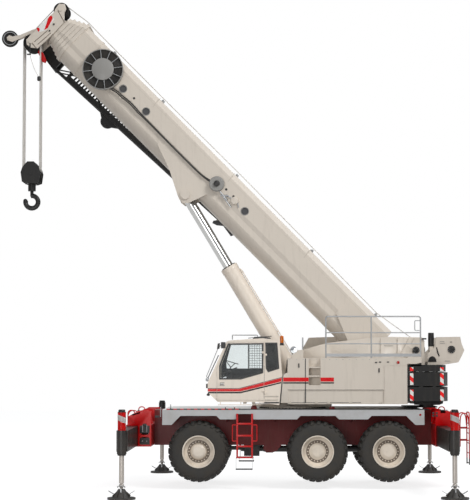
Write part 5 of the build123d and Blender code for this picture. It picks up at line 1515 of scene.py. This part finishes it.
bm = bmesh.new()
for y in (0.552, 0.998):
    plate(bm, [on_fly(x, z) for x, z in ((0.45, 0.03), (6.60, 0.03), (6.60, 0.115), (0.45, 0.125))], y,
          y + 0.010)
finish("fly_side_plates", bm, black, "boom")
bm = bmesh.new()
for n in range(30):
    x = 0.62 + 0.205 * n
    for y in (0.553, 0.999):
        plate(bm, [on_fly(a, b) for a, b in ((x, 0.11), (x + 0.055, 0.11), (x + 0.075, 0.40),
                                             (x + 0.020, 0.40))], y, y + 0.008)
finish("fly_lacing_plates", bm, black, "boom")

# %% Hazard film and red link at the boom head
bm = bmesh.new()
film = [(-5.334, 12.476), (-5.288, 12.517), (-5.187, 12.612), (-4.961, 12.849), (-4.893, 12.806),
        (-4.846, 12.737), (-5.029, 12.500), (-5.072, 12.443), (-5.162, 12.408), (-5.271, 12.383)]
diagonal = [(-5.119, 12.443), (-5.029, 12.489), (-4.893, 12.748), (-4.898, 12.808), (-4.934, 12.844),
            (-4.977, 12.825), (-5.024, 12.759), (-5.062, 12.612)]
tip = [(-5.334, 12.476), (-5.288, 12.517), (-5.241, 12.476), (-5.250, 12.432), (-5.271, 12.383)]
for way in (-1.0, 1.0):
    plate(bm, film, way * 0.3295, way * 0.3315)
finish("head_film", bm, film_white, "boom_5")
bm = bmesh.new()
for way in (-1.0, 1.0):
    plate(bm, diagonal, way * 0.3312, way * 0.3328)
    plate(bm, tip, way * 0.3312, way * 0.3328)
finish("head_film_red", bm, stripe_red, "boom_5")
bm = bmesh.new()
for x, z in ((-4.857, 12.601), (-4.972, 12.421)):
    bar(bm, (x, -0.329, z), (x, -0.349, z), 0.026, 6)
finish("head_bolts", bm, black_plastic, "boom_5")
bm = bmesh.new()
plate(bm, boom_outline([(12.44, -0.165), (12.30, -0.14), (12.09, -0.22), (12.06, -0.30), (12.14, -0.33),
                        (12.40, -0.24)]), -0.040, 0.040)
finish("head_link", bm, red, "boom_5", 0.006)
bm = bmesh.new()
for (x0, z0), (x1, z1) in (((-5.389, 12.116), (-5.029, 12.432)), ((-5.296, 12.045), (-4.942, 12.361)),
                           ((-5.492, 12.127), (-5.334, 11.941)), ((-4.740, 12.964), (-4.563, 12.650))):
    for y in (-0.3295, 0.3295):
        bar(bm, (x0, y, z0), (x1, y, z1), 0.011, 6)
finish("head_seams", bm, rim_shade, "boom_5")
nose_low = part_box("sheaves")[0]
nose_axis = Vector((nose_low.x + 0.226, 0.0, 12.277))
bm = bmesh.new()
for way in (-1.0, 1.0):
    ring = [(0.166, way * 0.030), (0.166, way * 0.037), (0.186, way * 0.037), (0.186, way * 0.030)]
    lathe(bm, ring, nose_axis, (0.0, 1.0, 0.0), 48)
finish("nose_ring", bm, galvanised, "boom_5")
print("boom dressed, nose sheave at", [round(value, 3) for value in nose_axis])

# %% [markdown]
# ## Outrigger boxes, rear steps and the left ladder
#
# The boxes are cut lower over the beams than the solid's plain block, and the upper frame
# is open below in front of and behind the slewing ring. Each is a copy of its solid, cut
# with flat planes, and the cuts are closed again. The left ladder hangs lower than the
# solid one and has broad red treads and two dark steps on cables.

# %% Outrigger boxes with sloped shoulders


def cut_copy(name, cuts):
    """A merged copy of a solid part, cut by planes; each plane keeps what lies behind it."""
    bm = bmesh.new()
    bm.from_mesh(nodes[name].data)
    bmesh.ops.remove_doubles(bm, verts=bm.verts, dist=1e-4)
    for place, way in cuts:
        whole = bm.verts[:] + bm.edges[:] + bm.faces[:]
        cut = bmesh.ops.bisect_plane(bm, geom=whole, plane_co=place, plane_no=way, clear_outer=True)
        rim = [item for item in cut["geom_cut"] if isinstance(item, bmesh.types.BMEdge)]
        bmesh.ops.holes_fill(bm, edges=rim, sides=0)
    return bm


bm = cut_copy("outrigger_boxes", [((0.0, 0.0, 2.060), (0.0, 0.0, 1.0)),
                                  ((-2.400, 0.0, 2.045), (-0.477, 0.0, 0.879)),
                                  ((5.780, 0.0, 2.045), (0.477, 0.0, 0.879))])
shoulders = finish("outrigger_boxes_cut", bm, red, "chassis", 0.0, 30.0)
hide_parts("outrigger_boxes")
print("outrigger boxes:", len(shoulders.data.polygons), "faces")

# %% Windows, fittings and hand loops of the boxes
bm = bmesh.new()
fittings = bmesh.new()
for x in (-2.206, 5.586):
    way = -1.0 if x < 0.0 else 1.0
    for y in (-1.6, 1.6):
        out = -1.0 if y < 0.0 else 1.0
        if (way < 0.0) != (out < 0.0):
            continue
        # Black plates over the two window openings of each box paint the shade of the box's inside; the small
        # block above them is a real fitting.
        for z0, z1 in ((1.477, 1.672), (1.177, 1.353)):
            box(bm, (x - 0.130, min(y, y + out * 0.003), z0), (x + 0.130, max(y, y + out * 0.003), z1))
        box(bm, (x - 0.045, min(y, y + out * 0.05), 1.672), (x + 0.045, max(y, y + out * 0.05), 1.725))
        for side in (-0.055, 0.055):
            bar(fittings, (x + side, y + out * 0.018, 1.50), (x + side, y + out * 0.018, 1.69), 0.012, 10)
            ball(fittings, (x + side, y + out * 0.012, 1.27), 0.016, 10)
finish("box_window_shade_plates", bm, black_plastic, "chassis", 0.002)
finish("box_fittings", fittings, galvanised, "chassis")
bm = bmesh.new()
plate(bm, [(-2.55, 1.925), (-2.33, 1.990), (-2.33, 2.035), (-2.55, 1.965)], -1.600, -1.540)
plate(bm, [(-1.94, 1.880), (-1.82, 1.880), (-1.82, 1.935), (-1.94, 1.935)], -1.640, -1.580)
plate(bm, [(5.545, 2.000), (5.690, 2.000), (5.660, 2.085), (5.550, 2.085)], -1.600, -1.500)
for x in (5.360, 5.450):
    for z in (1.930, 2.000):
        plate(bm, [(x - 0.026, z - 0.026), (x + 0.026, z - 0.026), (x + 0.026, z + 0.026),
                   (x - 0.026, z + 0.026)], -1.603, -1.595)
finish("box_brackets", bm, black_plastic, "chassis", 0.002)
for n, (x, way) in enumerate(((-2.47, -1.0), (5.86, 1.0))):
    route = [(x + way * 0.19, -1.50, 1.90), (x + way * 0.17, -1.50, 2.02), (x + way * 0.06, -1.50, 2.075),
             (x - way * 0.05, -1.50, 2.05), (x - way * 0.10, -1.50, 1.98)]
    pipe("box_hand_loop_%d" % n, route, 0.014, red, "chassis")
bm = bmesh.new()
for x in (-2.36, 5.72):
    ring = [(0.040, -0.014), (0.054, 0.0), (0.040, 0.014), (0.028, 0.0)]
    lathe(bm, ring, (x, -1.555, 2.035), (0.3, 1.0, 0.1), 28)
bar(bm, (-1.79, -1.60, 1.90), (-1.79, -1.60, 2.16), 0.011, 8)
finish("box_shackles", bm, galvanised, "chassis")
bm = bmesh.new()
bar(bm, (-1.53, -1.55, 2.086), (-1.53, -1.55, 2.225), 0.008, 8)
bar(bm, (-1.53, -1.55, 2.086), (-1.53, -1.55, 2.120), 0.022, 10)
finish("deck_whisker", bm, black_plastic, "chassis")

# %% Left ladder
bm = bmesh.new()
bm.from_mesh(nodes["ladders"].data)
bmesh.ops.remove_doubles(bm, verts=bm.verts, dist=1e-4)
middles = {f: f.calc_center_median() for f in bm.faces}
left_side = [f for f, middle in middles.items() if middle.y < -1.3 and -0.1 < middle.x < 0.95]
bmesh.ops.delete(bm, geom=left_side, context="FACES")
others = finish("other_ladders", bm, ladder_finish, "chassis", 0.0, 40.0)
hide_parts("ladders")
bm = bmesh.new()
for x in (0.219, 0.609):
    box(bm, (x - 0.023, -1.664, 0.826), (x + 0.023, -1.616, 1.985))
    box(bm, (x - 0.010, -1.618, 1.690), (x + 0.010, -1.570, 1.760))
for z in (1.723, 1.413, 1.134, 0.846):
    box(bm, (0.197, -1.668, z - 0.024), (0.631, -1.560, z + 0.022))
finish("left_ladder", bm, red, "chassis", 0.004)
for n, (x, way) in enumerate(((0.219, -1.0), (0.609, 1.0))):
    route = [(x, -1.640, 1.692), (x + way * 0.125, -1.640, 1.692), (x + way * 0.125, -1.640, 1.271),
             (x, -1.640, 1.271)]
    pipe("left_ladder_loop_%d" % n, route, 0.015, red, "chassis", True)
bm = bmesh.new()
box(bm, (0.257, -1.560, 0.730), (0.663, -1.440, 0.760))
box(bm, (0.180, -1.650, 0.520), (0.622, -1.530, 0.550))
finish("hung_steps", bm, trim_plastic, "chassis", 0.004)
bm = bmesh.new()
for x, y, z in ((0.190, -1.640, 0.535), (0.612, -1.640, 0.535), (0.270, -1.545, 0.745),
                (0.650, -1.545, 0.745)):
    bar(bm, (x, y, z), (x, -1.640 if y < -1.6 else -1.575, 0.850), 0.006, 8)
bar(bm, (0.612, -1.575, 0.850), (0.660, -1.575, 0.850), 0.008, 8)
finish("step_cables", bm, galvanised, "chassis")

# %% Upper frame, open towards the deck in front of and behind the slewing ring
base_front, base_rear, base_top = 0.700, 2.740, 2.236
rearward, forward, down = (1.0, 0.0, 0.0), (-1.0, 0.0, 0.0), (0.0, 0.0, -1.0)
rear_spot, front_spot, top_spot = (base_rear, 0.0, 0.0), (base_front, 0.0, 0.0), (0.0, 0.0, base_top)
frame_cuts = {
    "middle": [(rear_spot, rearward), (front_spot, forward)],
    "rear": [(rear_spot, forward), (top_spot, down)],
    "front": [(front_spot, rearward), (top_spot, down)],
}
parts = []
for tag, cuts in frame_cuts.items():
    parts.append(finish("frame_" + tag, cut_copy("upper_frame", cuts), body_cream_painted_shade, None))
slimmed = join("upper_frame_open", parts, "upper")
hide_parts("upper_frame")
print("upper frame:", len(slimmed.data.polygons), "faces")

# %% Steps and rail at the cab's foot
bm = bmesh.new()
box(bm, (-0.290, -1.490, 2.203), (0.830, -1.440, 2.221))
for x in (-0.24, 0.30, 0.80):
    box(bm, (x, -1.480, 2.215), (x + 0.020, -1.450, 2.300))
finish("cab_foot_rail", bm, cream, "upper", 0.003)
bm = bmesh.new()
box(bm, (0.925, -1.506, 2.251), (1.314, -1.495, 2.288))
finish("cab_foot_strip", bm, seal_rubber, "upper", 0.002)
bm = bmesh.new()
for z in (2.325, 2.420):
    box(bm, (0.940, -1.508, z), (1.300, -1.495, z + 0.030))
finish("cab_foot_steps", bm, cream_dark, "upper", 0.003)

# %% Seams and struts of the winch frame
bm = bmesh.new()
for x0, z0, x1, z1 in ((4.519, 3.985, 4.519, 3.550), (4.823, 3.985, 4.595, 3.550),
                       (4.967, 3.985, 4.899, 3.850), (4.06, 3.985, 4.06, 3.550)):
    bar(bm, (x0, -0.580, z0), (x1, -0.580, z1), 0.006, 6)
finish("frame_seams", bm, cream_dark, "upper")
bm = bmesh.new()
plate(bm, [(4.700, 3.225), (5.070, 3.225), (5.070, 3.326), (4.740, 3.252)], -1.500, -1.440)
finish("weight_wedge", bm, black, "upper", 0.004)
print("boxes, ladder and frame dressed")
